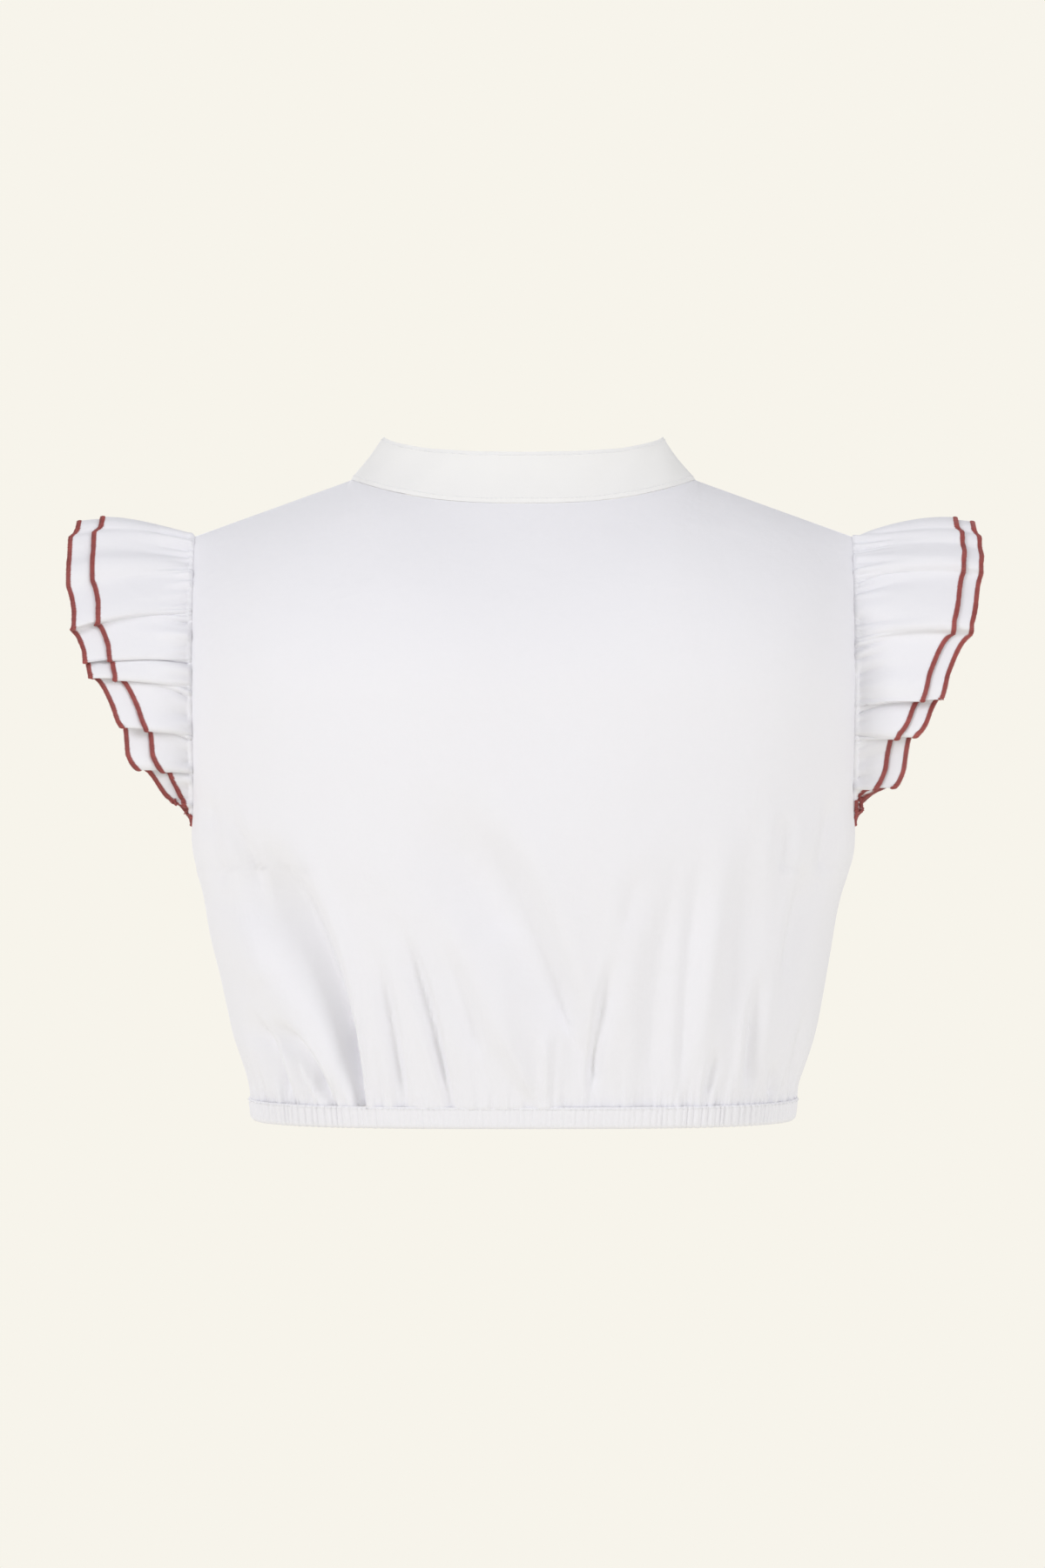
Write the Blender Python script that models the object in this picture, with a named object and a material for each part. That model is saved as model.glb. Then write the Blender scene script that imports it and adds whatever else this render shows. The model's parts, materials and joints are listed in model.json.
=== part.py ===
"""A short white dirndl blouse, filled out as if worn: stand collar, buttoned front, double frilled cap
sleeves and a gathered elastic hem. Metres, +Z up, the front faces -Y and the wearer's left is +X.
The origin is midway between the shoulders, at the height where the blouse hangs from them."""

import math

import bmesh
import bpy
import numpy as np

# Driving dimensions
SHOULDER_TIP = np.array([0.1895, 0.0, -0.016])
NECK_POINT = np.array([0.0990, 0.008, 0.016])
BACK_NECK_DROP = 0.016
BACK_NECK_REACH = 0.050
FRONT_NECK_DROP = 0.092
FRONT_NECK_REACH = 0.107
UNDERARM_HEIGHT = -0.206
ARMHOLE_MIDDLE = -0.120
BACK_ARMHOLE_REACH = 0.045
FRONT_ARMHOLE_REACH = 0.050
CHEST_HEIGHT = -0.110
HEM_HEIGHT = -0.3485
CASING_HEIGHT = 0.012
COLLAR_HEIGHT = 0.031
COLLAR_FRONT_HEIGHT = 0.024
PLACKET_WIDTH = 0.026
UNDERLAP = 0.010
BUTTON_WIDTH = 0.011
BUTTON_HEIGHTS = (-0.092, -0.150, -0.208, -0.266, -0.324)
UNDER_FRILL_LENGTH = 0.0745
TOP_FRILL_SHORTER = 0.0135

# Thicknesses and clearances
CLOTH = 0.0012
FRILL_CLOTH = 0.0010
COLLAR_CLOTH = 0.0018
CASING_CLOTH = 0.0026
SEAM_GAP = 0.0003
FRILL_SPACING = 0.0021

# How finely the pieces are divided
SHOULDER_COLUMNS = 24
NECK_COLUMNS = 20
NECK_SPAN = 0.47
FINE_LEVELS = (0.0, 0.045, 0.105)
COARSE_LEVELS = (0.19, 0.33, 0.47, 0.565, 0.612, 0.70, 0.84, 1.0, 1.28, 1.56, 1.80, 2.0)
FRILL_COLUMNS_PER_WAVE = 6
FRILL_ROWS = (0.0, 0.22, 0.55, 1.0)
BUTTON_SIDES = 14

# Horizontal sections of the body. Depths are from the side seam to the middle of the back or the front.
SECTION_COLUMNS = ("height", "half_width", "back_depth", "front_depth", "squareness")
SECTIONS = (
    (-0.3500, 0.1540, 0.1000, 0.1020, 2.9),
    (-0.3365, 0.1555, 0.1015, 0.1045, 2.9),
    (-0.3000, 0.1660, 0.1080, 0.1170, 2.7),
    (-0.2580, 0.1745, 0.1130, 0.1290, 2.5),
    (-0.2200, 0.1825, 0.1160, 0.1330, 2.4),
    (-0.2060, 0.1870, 0.1170, 0.1320, 2.4),
    (-0.1600, 0.1870, 0.1180, 0.1250, 2.4),
    (-0.1100, 0.1875, 0.1175, 0.1120, 2.4),
)

# Main creases, as seen from behind with +X to the left and from the front with +X to the right.
# Each runs from its foot near the casing to its head. A negative depth is a trough.
CREASE_COLUMNS = ("foot_x", "foot_z", "head_x", "head_z", "width", "depth")
BACK_CREASES = (
    (0.093, -0.336, 0.106, -0.273, 0.0085, -0.0035),
    (0.106, -0.273, 0.136, -0.188, 0.0170, -0.0040),
    (0.118, -0.334, 0.150, -0.290, 0.0090, -0.0026),
    (0.134, -0.335, 0.163, -0.278, 0.0080, -0.0022),
    (0.066, -0.311, 0.086, -0.248, 0.0080, -0.0018),
    (0.041, -0.335, 0.068, -0.240, 0.0085, -0.0026),
    (0.021, -0.306, 0.053, -0.223, 0.0140, -0.0018),
    (-0.027, -0.298, 0.024, -0.182, 0.0200, -0.0024),
    (-0.037, -0.333, -0.055, -0.268, 0.0090, -0.0024),
    (-0.089, -0.335, -0.100, -0.230, 0.0100, -0.0022),
    (-0.112, -0.334, -0.122, -0.280, 0.0085, -0.0020),
    (-0.130, -0.335, -0.140, -0.270, 0.0080, -0.0026),
    (-0.152, -0.330, -0.166, -0.262, 0.0080, -0.0022),
    (0.110, -0.322, 0.150, -0.225, 0.0150, 0.0022),
    (-0.110, -0.322, -0.150, -0.215, 0.0160, 0.0018),
)
FRONT_CREASES = (
    (0.046, -0.334, 0.058, -0.250, 0.0090, -0.0026),
    (0.074, -0.334, 0.084, -0.236, 0.0110, -0.0030),
    (0.104, -0.335, 0.124, -0.250, 0.0100, -0.0030),
    (0.132, -0.334, 0.155, -0.262, 0.0090, -0.0024),
    (0.090, -0.300, 0.142, -0.198, 0.0180, -0.0028),
    (-0.040, -0.335, -0.048, -0.262, 0.0090, -0.0024),
    (-0.066, -0.334, -0.080, -0.232, 0.0110, -0.0030),
    (-0.097, -0.335, -0.116, -0.242, 0.0100, -0.0028),
    (-0.126, -0.334, -0.150, -0.256, 0.0090, -0.0026),
    (-0.094, -0.292, -0.140, -0.200, 0.0180, -0.0026),
    (0.118, -0.320, 0.158, -0.220, 0.0150, 0.0020),
    (-0.110, -0.318, -0.152, -0.222, 0.0150, 0.0020),
)

# Heights at which a frill's folds lie on the armhole seam, from the shoulder down.
FRILL_FOLDS = {
    "left": {
        "back": (-0.034, -0.066, -0.097, -0.126, -0.151, -0.166, -0.180),
        "front": (-0.038, -0.072, -0.104, -0.130, -0.154, -0.170, -0.181),
    },
    "right": {
        "back": (-0.032, -0.070, -0.100, -0.131, -0.150, -0.166, -0.180),
        "front": (-0.036, -0.068, -0.102, -0.132, -0.156, -0.171, -0.181),
    },
}

# Gathers: the ripple left by the elastic, how far up it fades, and the wider folds that it runs into
RIPPLE_DEPTH = 0.0011
RIPPLE_FADE = 0.022
FOLD_DEPTH = 0.0017
FOLD_FADE = 0.050
RIB_DEPTH = 0.0007
CASING_ROUNDING = 0.0009
PLAIN_BESIDE_PLACKET = (0.016, 0.034)

# Frills: how far they puff out from the seam, droop, wave and lean downwards
PUFF = 0.014
PUFF_WITHIN = 0.030
DROOP = 0.005
WAVE_DEPTH = 0.0052
WAVE_WITHIN = 0.026
LEAN = 0.55
FRILL_END_HEIGHT = -0.1820

# A button's half profile, as shares of its radius and heights
BUTTON_COLUMNS = ("share_of_radius", "height")
BUTTON_PROFILE = (
    (0.00, 0.0000),
    (0.80, 0.0000),
    (1.00, 0.0008),
    (1.00, 0.0017),
    (0.86, 0.0023),
    (0.66, 0.0017),
    (0.00, 0.0016),
)

WHITE = (0.90, 0.90, 0.92, 1.0)
BUTTON_WHITE = (0.86, 0.86, 0.85, 1.0)


def clear_scene():
    for obj in list(bpy.data.objects):
        bpy.data.objects.remove(obj)


def material(name, colour, roughness):
    made = bpy.data.materials.new(name)
    made.use_nodes = True
    shader = made.node_tree.nodes["Principled BSDF"]
    shader.inputs["Base Color"].default_value = colour
    shader.inputs["Roughness"].default_value = roughness
    shader.inputs["Metallic"].default_value = 0.0
    return made


def unit(vectors):
    return vectors / np.linalg.norm(vectors, axis=-1, keepdims=True)


def smooth_step(value, low, high):
    share = np.clip((value - low) / (high - low), 0.0, 1.0)
    return share * share * (3.0 - 2.0 * share)


def section_value(column, height):
    """Reads one column of SECTIONS at a height, on a smooth curve through the rows."""
    heights = np.array([row[0] for row in SECTIONS])
    values = np.array([row[SECTION_COLUMNS.index(column)] for row in SECTIONS])
    slopes = np.gradient(values, heights)
    low = int(np.clip(np.searchsorted(heights, height) - 1, 0, len(heights) - 2))
    step = heights[low + 1] - heights[low]
    t = float(np.clip((height - heights[low]) / step, 0.0, 1.0))
    return (
        (2 * t**3 - 3 * t**2 + 1) * values[low]
        + (t**3 - 2 * t**2 + t) * step * slopes[low]
        + (3 * t**2 - 2 * t**3) * values[low + 1]
        + (t**3 - t**2) * step * slopes[low + 1]
    )


def armhole_reach(side, height):
    """How far the armhole's edge lies behind (side 1) or in front (side -1) of the side seam."""
    if height <= UNDERARM_HEIGHT:
        return 0.0
    widest = BACK_ARMHOLE_REACH if side > 0 else FRONT_ARMHOLE_REACH
    end = UNDERARM_HEIGHT if height < ARMHOLE_MIDDLE else SHOULDER_TIP[2]
    share = (height - ARMHOLE_MIDDLE) / (end - ARMHOLE_MIDDLE)
    return widest * math.sqrt(max(0.0, 1.0 - share * share))


def half_section(side, height):
    """Points from the middle of the back or front to its side edge, close together, and their distances."""
    width = section_value("half_width", height)
    depth = section_value("back_depth" if side > 0 else "front_depth", height)
    power = section_value("squareness", height)
    edge = armhole_reach(side, height)
    full_width = width / (1.0 - (edge / depth) ** power) ** (1.0 / power)
    turns = np.linspace(0.0, math.atan2(width, edge), 241)
    radius = ((np.sin(turns) / full_width) ** power + (np.cos(turns) / depth) ** power) ** (-1.0 / power)
    x, y = radius * np.sin(turns), radius * np.cos(turns)
    distance = np.concatenate([[0.0], np.cumsum(np.hypot(np.diff(x), np.diff(y)))])
    return x, y, distance


def section_row(side, spans, height):
    """Points at shares of the way from the middle (0) to the wearer's left (1) or right (-1) edge."""
    x, y, distance = half_section(side, height)
    along = np.abs(spans) * distance[-1]
    xs = np.sign(spans) * np.interp(along, distance, x)
    ys = side * (np.interp(along, distance, y) + SEAM_GAP / 2)
    return np.stack([xs, ys, np.full(len(spans), height)], axis=1)


def top_edge(side, spans):
    """The edge that a panel ends in at the top: half the neckline, then the shoulder seam."""
    reach = np.abs(spans)
    shoulder = np.clip((reach - NECK_SPAN) / (1.0 - NECK_SPAN), 0.0, 1.0)
    turn = np.clip(reach / NECK_SPAN, 0.0, 1.0) * math.pi / 2
    across, forward = np.sin(turn), np.cos(turn) ** 0.9
    if side > 0:
        neck_y = NECK_POINT[1] + BACK_NECK_REACH * forward
        neck_z = NECK_POINT[2] - BACK_NECK_DROP * (1.0 - across**2.6)
    else:
        neck_y = NECK_POINT[1] - FRONT_NECK_REACH * forward
        neck_z = NECK_POINT[2] - FRONT_NECK_DROP * (1.0 - across**2)
    neck = np.stack([NECK_POINT[0] * across, neck_y, neck_z], axis=1)
    seam = NECK_POINT + (SHOULDER_TIP - NECK_POINT) * shoulder[:, None]
    points = np.where((reach > NECK_SPAN)[:, None], seam, neck)
    points[:, 0] *= np.where(spans < 0, -1.0, 1.0)
    points[:, 1] += side * SEAM_GAP / 2
    return points


def body_row(side, spans, level):
    """A line of points across the body's outer face. Level 0 is the casing's top, 1 the chest and 2 the
    shoulder seam and neckline; below 0 it runs down to the hem."""
    casing_top = HEM_HEIGHT + CASING_HEIGHT
    height = casing_top + (CHEST_HEIGHT - casing_top) * min(level, 1.0)
    start = section_row(side, spans, height)
    if level <= 1.0:
        return start
    end = top_edge(side, spans)
    rising = unit(start - section_row(side, spans, CHEST_HEIGHT - 0.002))
    chord = end - start
    reach = np.linalg.norm(chord, axis=1, keepdims=True)
    straight = chord / reach
    rounded = 2.0 * (straight * rising).sum(axis=1, keepdims=True) * straight - rising
    roundness = 0.45 + 0.55 * smooth_step(np.abs(spans), 0.0, NECK_SPAN)[:, None]
    arriving = unit(straight + (rounded - straight) * roundness)
    t = level - 1.0
    return (
        (2 * t**3 - 3 * t**2 + 1) * start
        + (t**3 - 2 * t**2 + t) * reach * rising
        + (3 * t**2 - 2 * t**3) * end
        + (t**3 - t**2) * reach * arriving
    )


def level_of(height):
    """The level of a height between the hem and the chest."""
    casing_top = HEM_HEIGHT + CASING_HEIGHT
    return (height - casing_top) / (CHEST_HEIGHT - casing_top)


def centre_span(offset, level):
    """The span of a line that runs down the front at a distance from its middle."""
    casing_top = HEM_HEIGHT + CASING_HEIGHT
    height = casing_top + (CHEST_HEIGHT - casing_top) * min(level, 1.0)
    below = offset / half_section(-1, height)[2][-1]
    if level <= 1.0:
        return below
    at_neck = NECK_SPAN * math.asin(offset / NECK_POINT[0]) / (math.pi / 2)
    return below + (at_neck - below) * (level - 1.0)


def crease_relief(creases, points):
    """How far the creases push each point out, by its distance from each crease's line."""
    relief = np.zeros(len(points))
    x, z = points[:, 0], points[:, 2]
    for foot_x, foot_z, head_x, head_z, width, depth in creases:
        run = np.array([head_x - foot_x, head_z - foot_z])
        along = ((x - foot_x) * run[0] + (z - foot_z) * run[1]) / (run @ run)
        nearest = np.clip(along, 0.0, 1.0)
        away = np.hypot(x - foot_x - nearest * run[0], z - foot_z - nearest * run[1])
        taper = 1.0 - 0.75 * nearest
        relief += depth * taper * np.exp(-((away / width) ** 2))
    return relief


def gather_relief(side, points, spans, level, ripple):
    """The folds that the elastic gathers into the cloth, fading up the panel and towards the armholes."""
    casing_top = HEM_HEIGHT + CASING_HEIGHT
    above = np.maximum(points[:, 2] - casing_top, 0.0)
    x = points[:, 0] * (1.0 + 0.9 * above / 0.25)
    folds = np.sin(x * 285.0 + 1.3 * side) + 0.8 * np.sin(x * 402.0 + 2.1)
    relief = FOLD_DEPTH * 0.6 * folds * np.exp(-above / FOLD_FADE)
    relief += RIPPLE_DEPTH * ripple * np.exp(-above / RIPPLE_FADE)
    relief += crease_relief(BACK_CREASES if side > 0 else FRONT_CREASES, points)
    if side < 0:
        relief *= smooth_step(np.abs(points[:, 0]), *PLAIN_BESIDE_PLACKET)
    relief *= 1.0 - smooth_step(np.abs(spans), 0.88, 1.0) * smooth_step(level, 0.30, 0.577)
    return relief * (1.0 - smooth_step(level, 1.0, 1.5))


def wall(name, outer, inner, mat):
    """A closed wall between two sheets of points. A row may have half as many columns as the one below."""
    mesh = bmesh.new()
    faces = [[mesh.verts.new(p) for p in row] for row in outer]
    backs = [[mesh.verts.new(p) for p in row] for row in inner]
    for sheet, flip in ((faces, False), (backs, True)):
        for low, high in zip(sheet, sheet[1:]):
            for corners in cells(low, high):
                mesh.faces.new(corners[::-1] if flip else corners)
    rim, back_rim = border(faces), border(backs)
    for i in range(len(rim)):
        j = (i + 1) % len(rim)
        mesh.faces.new((rim[j], rim[i], back_rim[i], back_rim[j]))
    bmesh.ops.recalc_face_normals(mesh, faces=mesh.faces)
    data = bpy.data.meshes.new(name)
    mesh.to_mesh(data)
    mesh.free()
    data.materials.append(mat)
    data.shade_smooth()
    data.set_sharp_from_angle(angle=math.radians(50))
    obj = bpy.data.objects.new(name, data)
    bpy.context.scene.collection.objects.link(obj)
    return obj


def cells(low, high):
    """The faces between two rows: four-cornered, or three triangles where the columns halve."""
    if len(low) == len(high):
        for i in range(len(low) - 1):
            yield (low[i], low[i + 1], high[i + 1], high[i])
        return
    for i in range(len(high) - 1):
        left, middle, right = low[2 * i : 2 * i + 3]
        yield (left, middle, high[i])
        yield (middle, high[i + 1], high[i])
        yield (middle, right, high[i + 1])


def border(sheet):
    """The points round a sheet's edge, once round."""
    right = [row[-1] for row in sheet[1:-1]]
    left = [row[0] for row in sheet[1:-1]]
    return sheet[0] + right + sheet[-1][::-1] + left[::-1]


def panel_spans(start, end, level):
    """The columns of a panel between two edges, at a level. An edge is a span, or a distance from the
    middle of the front. One column always ends at the neck point."""
    low = centre_span(start, level) if abs(start) < 0.5 else start
    high = centre_span(end, level) if abs(end) < 0.5 else end
    stops = [low, *(stop for stop in (-NECK_SPAN, NECK_SPAN) if low < stop < high), high]
    counts = []
    for a, b in zip(stops, stops[1:]):
        outside = max(abs(a), abs(b)) > NECK_SPAN + 1e-6
        across_middle = a < -0.4 and b > 0.4
        counts.append(SHOULDER_COLUMNS if outside else NECK_COLUMNS * (2 if across_middle else 1))
    parts = [np.linspace(a, b, n + 1)[1:] for a, b, n in zip(stops, stops[1:], counts)]
    return np.concatenate([[low], *parts])


def square_to_seams(normals, spans, level):
    """Turns the wall's thickness along the side and shoulder seams into the seam's own upright plane, so
    that the two walls that meet there end flat against each other."""
    normals = normals.copy()
    normals[np.abs(spans) > 0.999, 1] = 0.0
    if level == 2.0:
        seam = unit(SHOULDER_TIP - NECK_POINT)
        upright = unit(np.array([0.0, 0.0, 1.0]) - seam * seam[2])
        for side in (1.0, -1.0):
            normals[side * spans > NECK_SPAN - 1e-6] = upright * np.array([side, 1.0, 1.0])
    return unit(normals)


def body_panel(name, side, start, end, mat):
    """A front or back panel, from the casing to the shoulder seam, with its gathers and creases."""
    fine = [(level, 1) for level in FINE_LEVELS]
    levels = fine + [(level, 2) for level in COARSE_LEVELS]
    outer, inner = [], []
    step = 0.004
    for level, stride in levels:
        spans = panel_spans(start, end, level)
        below, above = max(level - step, -0.04), min(level + step, 2.0)
        row = body_row(side, spans, level)
        up = body_row(side, spans, above) - body_row(side, spans, below)
        normals = unit(np.cross(np.gradient(row, axis=0, edge_order=2), up)) * side
        normals *= -1.0 if normals[:, 1].sum() * side < 0 else 1.0
        normals = square_to_seams(normals, spans, level)
        ripple = np.where(np.arange(len(spans)) % 2 == 0, 1.0, -1.0)
        relief = gather_relief(side, row, spans, level, ripple if stride == 1 else 0.0)
        row = row + normals * relief[:, None]
        row[:, 2] += SEAM_GAP if level == 0.0 else 0.0
        outer.append(row[::stride])
        inner.append((row - normals * CLOTH)[::stride])
    return wall(name, outer, inner, mat)


def hem_casing(name, side, start, end, mat):
    """The elastic's tunnel at the hem: a thicker rounded band, ribbed by its gathers."""
    heights = (HEM_HEIGHT, HEM_HEIGHT + CASING_HEIGHT / 2, HEM_HEIGHT + CASING_HEIGHT)
    outer, inner = [], []
    for row_number, height in enumerate(heights):
        level = level_of(height)
        spans = panel_spans(start, end, level)
        row = section_row(side, spans, height)
        along = np.gradient(row, axis=0, edge_order=2)
        normals = unit(np.stack([along[:, 1], -along[:, 0], np.zeros(len(row))], axis=1))
        normals *= -1.0 if normals[:, 1].sum() * side < 0 else 1.0
        normals = square_to_seams(normals, spans, level)
        ribs = RIB_DEPTH * np.where(np.arange(len(spans)) % 2 == 0, 1.0, -1.0)
        relief = ribs + (CASING_ROUNDING if row_number == 1 else 0.0)
        if side < 0:
            relief = relief * smooth_step(np.abs(row[:, 0]), *PLAIN_BESIDE_PLACKET)
        outer.append(row + normals * relief[:, None])
        inner.append(row - normals * CASING_CLOTH)
    return wall(name, outer, inner, mat)


def placket_sheets():
    """The button band's two faces: a strip of the front's own rows, moved out."""
    half = PLACKET_WIDTH / 2
    rows = []
    for level in (level_of(HEM_HEIGHT), *FINE_LEVELS, *COARSE_LEVELS):
        spans = np.array([centre_span(x, level) for x in np.linspace(-half, half, 5)])
        row = body_row(-1, spans, level) if level >= 0 else section_row(-1, spans, HEM_HEIGHT)
        row[:, 2] -= SEAM_GAP if level == 2.0 else 0.0
        rows.append(row)
    grid = np.array(rows)
    normals = unit(np.cross(np.gradient(grid, axis=0), np.gradient(grid, axis=1)))
    normals *= -1.0 if normals[:, :, 1].sum() > 0 else 1.0
    return grid + normals * (SEAM_GAP + CLOTH), grid + normals * SEAM_GAP


def placket(mat):
    outer, inner = placket_sheets()
    return wall("button_placket", outer, inner, mat)


def collar(mat):
    """The stand collar: one band round the neckline, open at the middle of the front."""
    gap = 0.0012
    opening = NECK_SPAN * math.asin(gap / NECK_POINT[0]) / (math.pi / 2)
    front = np.concatenate([np.linspace(opening, 0.05, 4), np.linspace(0.05, NECK_SPAN, 13)[1:]])
    edges = ((-1, -front), (1, np.linspace(-NECK_SPAN, NECK_SPAN, 23)[1:-1]), (-1, front[::-1]))
    loop = np.concatenate([body_row(side, spans, 2.0) for side, spans in edges])
    arriving = loop - np.concatenate([body_row(side, spans, 1.95) for side, spans in edges])
    centre_y = NECK_POINT[1]
    behind = loop[:, 1] > centre_y
    turn = np.arctan2(
        np.abs(loop[:, 0]) / NECK_POINT[0],
        np.abs(loop[:, 1] - centre_y) / np.where(behind, BACK_NECK_REACH, FRONT_NECK_REACH),
    )
    beside = np.sin(turn) ** 2
    lean = np.where(behind, 0.31, 0.10) * (1.0 - beside) + 0.60 * beside
    along = unit(np.gradient(loop, axis=0))
    inwards = unit(np.stack([along[:, 1], -along[:, 0], np.zeros(len(loop))], axis=1))
    inwards *= -1.0 if (inwards[:, 0] * loop[:, 0]).sum() > 0 else 1.0
    rise = unit(inwards * lean[:, None] + np.array([0, 0, 1.0]) * np.sqrt(1 - lean**2)[:, None])
    outwards = unit(np.cross(along, rise))
    outwards *= -1.0 if (outwards * inwards).sum() > 0 else 1.0
    distance = np.concatenate([[0.0], np.cumsum(np.linalg.norm(np.diff(loop, axis=0), axis=1))])
    from_end = np.minimum(distance, distance[-1] - distance)
    full = COLLAR_FRONT_HEIGHT + (COLLAR_HEIGHT - COLLAR_FRONT_HEIGHT) * smooth_step(from_end, 0.02, 0.12)
    corner = np.sqrt(1.0 - (1.0 - np.clip(from_end / 0.012, 0.0, 1.0)) ** 2)
    height = full * (0.45 + 0.55 * corner)
    across_edge = (outwards * unit(arriving)).sum(axis=1)
    foot = 3 * SEAM_GAP + 1.4 * COLLAR_CLOTH * np.clip(across_edge, 0.0, 1.0)
    outer, inner = [], []
    for share in (0.0, 0.5, 1.0):
        up = foot + height * share
        bow = 0.0012 * math.sin(math.pi * share)
        row = loop + rise * up[:, None] - outwards * bow
        outer.append(row)
        inner.append(row - outwards * COLLAR_CLOTH)
    return wall("collar", outer, inner, mat)


def armhole_seam(sign):
    """The armhole's edge from the front underarm over the shoulder to the back underarm, and which
    points lie behind the shoulder."""
    levels = np.concatenate([np.linspace(0.577, 1.0, 60), np.linspace(1.0, 2.0, 80)[1:]])
    span = np.array([float(sign)])
    front = [body_row(-1, span, level)[0] for level in levels]
    back = [body_row(1, span, level)[0] for level in levels]
    behind = np.array([False] * len(front) + [True] * (len(back) - 1))
    return np.array(front + back[::-1][1:]), behind


def frill_sheet(sign, folds):
    """The sheet that both layers of a cap sleeve lie against: rows from the seam outwards, with their
    waves. Its last row is the longer layer's edge and the one before is the shorter layer's."""
    seam, behind = armhole_seam(sign)
    kept = seam[:, 2] >= FRILL_END_HEIGHT
    seam, behind = seam[kept], behind[kept]
    distance = np.concatenate([[0.0], np.cumsum(np.linalg.norm(np.diff(seam, axis=0), axis=1))])
    at_shoulder = distance[np.argmax(seam[:, 2])]
    rising, falling = ~behind, behind
    crests = [np.interp(z, seam[rising, 2], distance[rising]) for z in sorted(folds["front"])]
    crests += [at_shoulder]
    crests += [np.interp(-z, -seam[falling, 2], distance[falling]) for z in folds["back"]]
    stops = np.array([0.0, *(c for c in crests if 0.002 < c < distance[-1] - 0.002), distance[-1]])
    s = [np.linspace(a, b, FRILL_COLUMNS_PER_WAVE, endpoint=False) for a, b in zip(stops, stops[1:])]
    s = np.concatenate([*s, [distance[-1]]])
    phase = np.interp(s, stops, np.arange(len(stops)))
    base = np.stack([np.interp(s, distance, seam[:, i]) for i in range(3)], axis=1)
    along = np.stack([np.interp(s, distance, np.gradient(seam[:, i], distance)) for i in range(3)], axis=1)
    along[:, 0] = 0.0
    along = unit(along)
    outwards = np.stack([np.zeros(len(s)), -along[:, 2], along[:, 1]], axis=1)
    outwards *= -1.0 if outwards[np.argmax(base[:, 2]), 2] < 0 else 1.0
    down = along * np.where(s < at_shoulder, -1.0, 1.0)[:, None]
    from_shoulder = np.clip((-base[:, 2] - 0.020) / (-FRILL_END_HEIGHT - 0.020), 0.0, 1.0)
    longest = 0.0030 + (UNDER_FRILL_LENGTH - 0.0030) * (1.0 - from_shoulder**2.1) ** 0.741
    shorter = np.maximum(longest - TOP_FRILL_SHORTER, 0.4 * longest)
    end_taper = smooth_step(np.minimum(s, s[-1] - s), 0.0, 0.050)
    lean = LEAN * smooth_step(np.abs(s - at_shoulder), 0.010, 0.050)
    rows = []
    for out in [share * shorter for share in FRILL_ROWS] + [longest]:
        puff = PUFF * (1.0 - np.exp(-out / PUFF_WITHIN)) * end_taper
        wave = WAVE_DEPTH * (1.0 - np.exp(-out / WAVE_WITHIN)) * np.cos(2 * np.pi * phase)
        row = base + outwards * (puff + wave)[:, None] + down * (wave * lean)[:, None]
        row[:, 2] -= DROOP * (out / UNDER_FRILL_LENGTH) ** 3
        row[:, 0] += sign * (3 * SEAM_GAP + out)
        rows.append(row)
    grid = np.array(rows)
    normals = unit(np.cross(np.gradient(grid, axis=1), np.gradient(grid, axis=0)))
    normals *= -1.0 if (normals * outwards[None]).sum() < 0 else 1.0
    normals[0, :, 0] = 0.0
    return grid, unit(normals)


def frill(name, sign, layer, mat):
    """One of the two gathered layers of a cap sleeve. The shorter one lies on top."""
    grid, normals = frill_sheet(sign, FRILL_FOLDS["left" if sign > 0 else "right"])
    if layer == "top":
        grid, normals = grid[:-1, 2:-2], normals[:-1, 2:-2]
    middle = FRILL_SPACING / 2 * (1.0 if layer == "top" else -1.0)
    half = FRILL_CLOTH / 2
    return wall(name, grid + normals * (middle + half), grid + normals * (middle - half), mat)


def button_seat(height, radius):
    """Where a button's back lies on the placket, clear of its slight bends, and which way it faces."""
    line = placket_sheets()[0][:, 2]
    rows = np.argsort(line[:, 2])
    heights = np.linspace(height - radius, height + radius, 9)
    reach = np.interp(heights, line[rows, 2], line[rows, 1])
    slope = (reach[-1] - reach[0]) / (heights[-1] - heights[0])
    normal = unit(np.array([0.0, -1.0, slope]))
    depths = (reach[4] - reach) * -normal[1] + (heights - height) * normal[2]
    return np.array([0.0, reach[4], height]) + normal * (depths.max() + SEAM_GAP), normal


def button(number, height, mat):
    """A small four-hole button on the placket, with a raised rim."""
    name = f"button_{number}"
    radius = BUTTON_WIDTH / 2
    seat, normal = button_seat(height, radius)
    disc = bmesh.new()
    spokes = BUTTON_SIDES
    rings = []
    for share, rise in BUTTON_PROFILE:
        turns = [2 * math.pi * i / spokes for i in range(spokes if share else 1)]
        reach = radius * share
        rings.append([disc.verts.new((reach * math.cos(a), reach * math.sin(a), rise)) for a in turns])
    for low_ring, high_ring in zip(rings, rings[1:]):
        for i in range(spokes):
            j = (i + 1) % spokes
            if len(low_ring) == 1:
                disc.faces.new((low_ring[0], high_ring[j], high_ring[i]))
            elif len(high_ring) == 1:
                disc.faces.new((low_ring[i], low_ring[j], high_ring[0]))
            else:
                disc.faces.new((low_ring[i], low_ring[j], high_ring[j], high_ring[i]))
    bmesh.ops.recalc_face_normals(disc, faces=disc.faces)
    data = bpy.data.meshes.new(name)
    disc.to_mesh(data)
    disc.free()
    data.materials.append(mat)
    data.shade_smooth()
    data.set_sharp_from_angle(angle=math.radians(40))
    obj = bpy.data.objects.new(name, data)
    bpy.context.scene.collection.objects.link(obj)
    for i in range(4):
        punch = hole_cutter(name, i)
        punch.parent = obj
        cut = obj.modifiers.new(f"hole_{i + 1}", "BOOLEAN")
        cut.operation = "DIFFERENCE"
        cut.object = punch
    obj.location = seat
    obj.rotation_euler = (math.atan2(-normal[1], normal[2]), 0.0, 0.0)
    return obj


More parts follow.
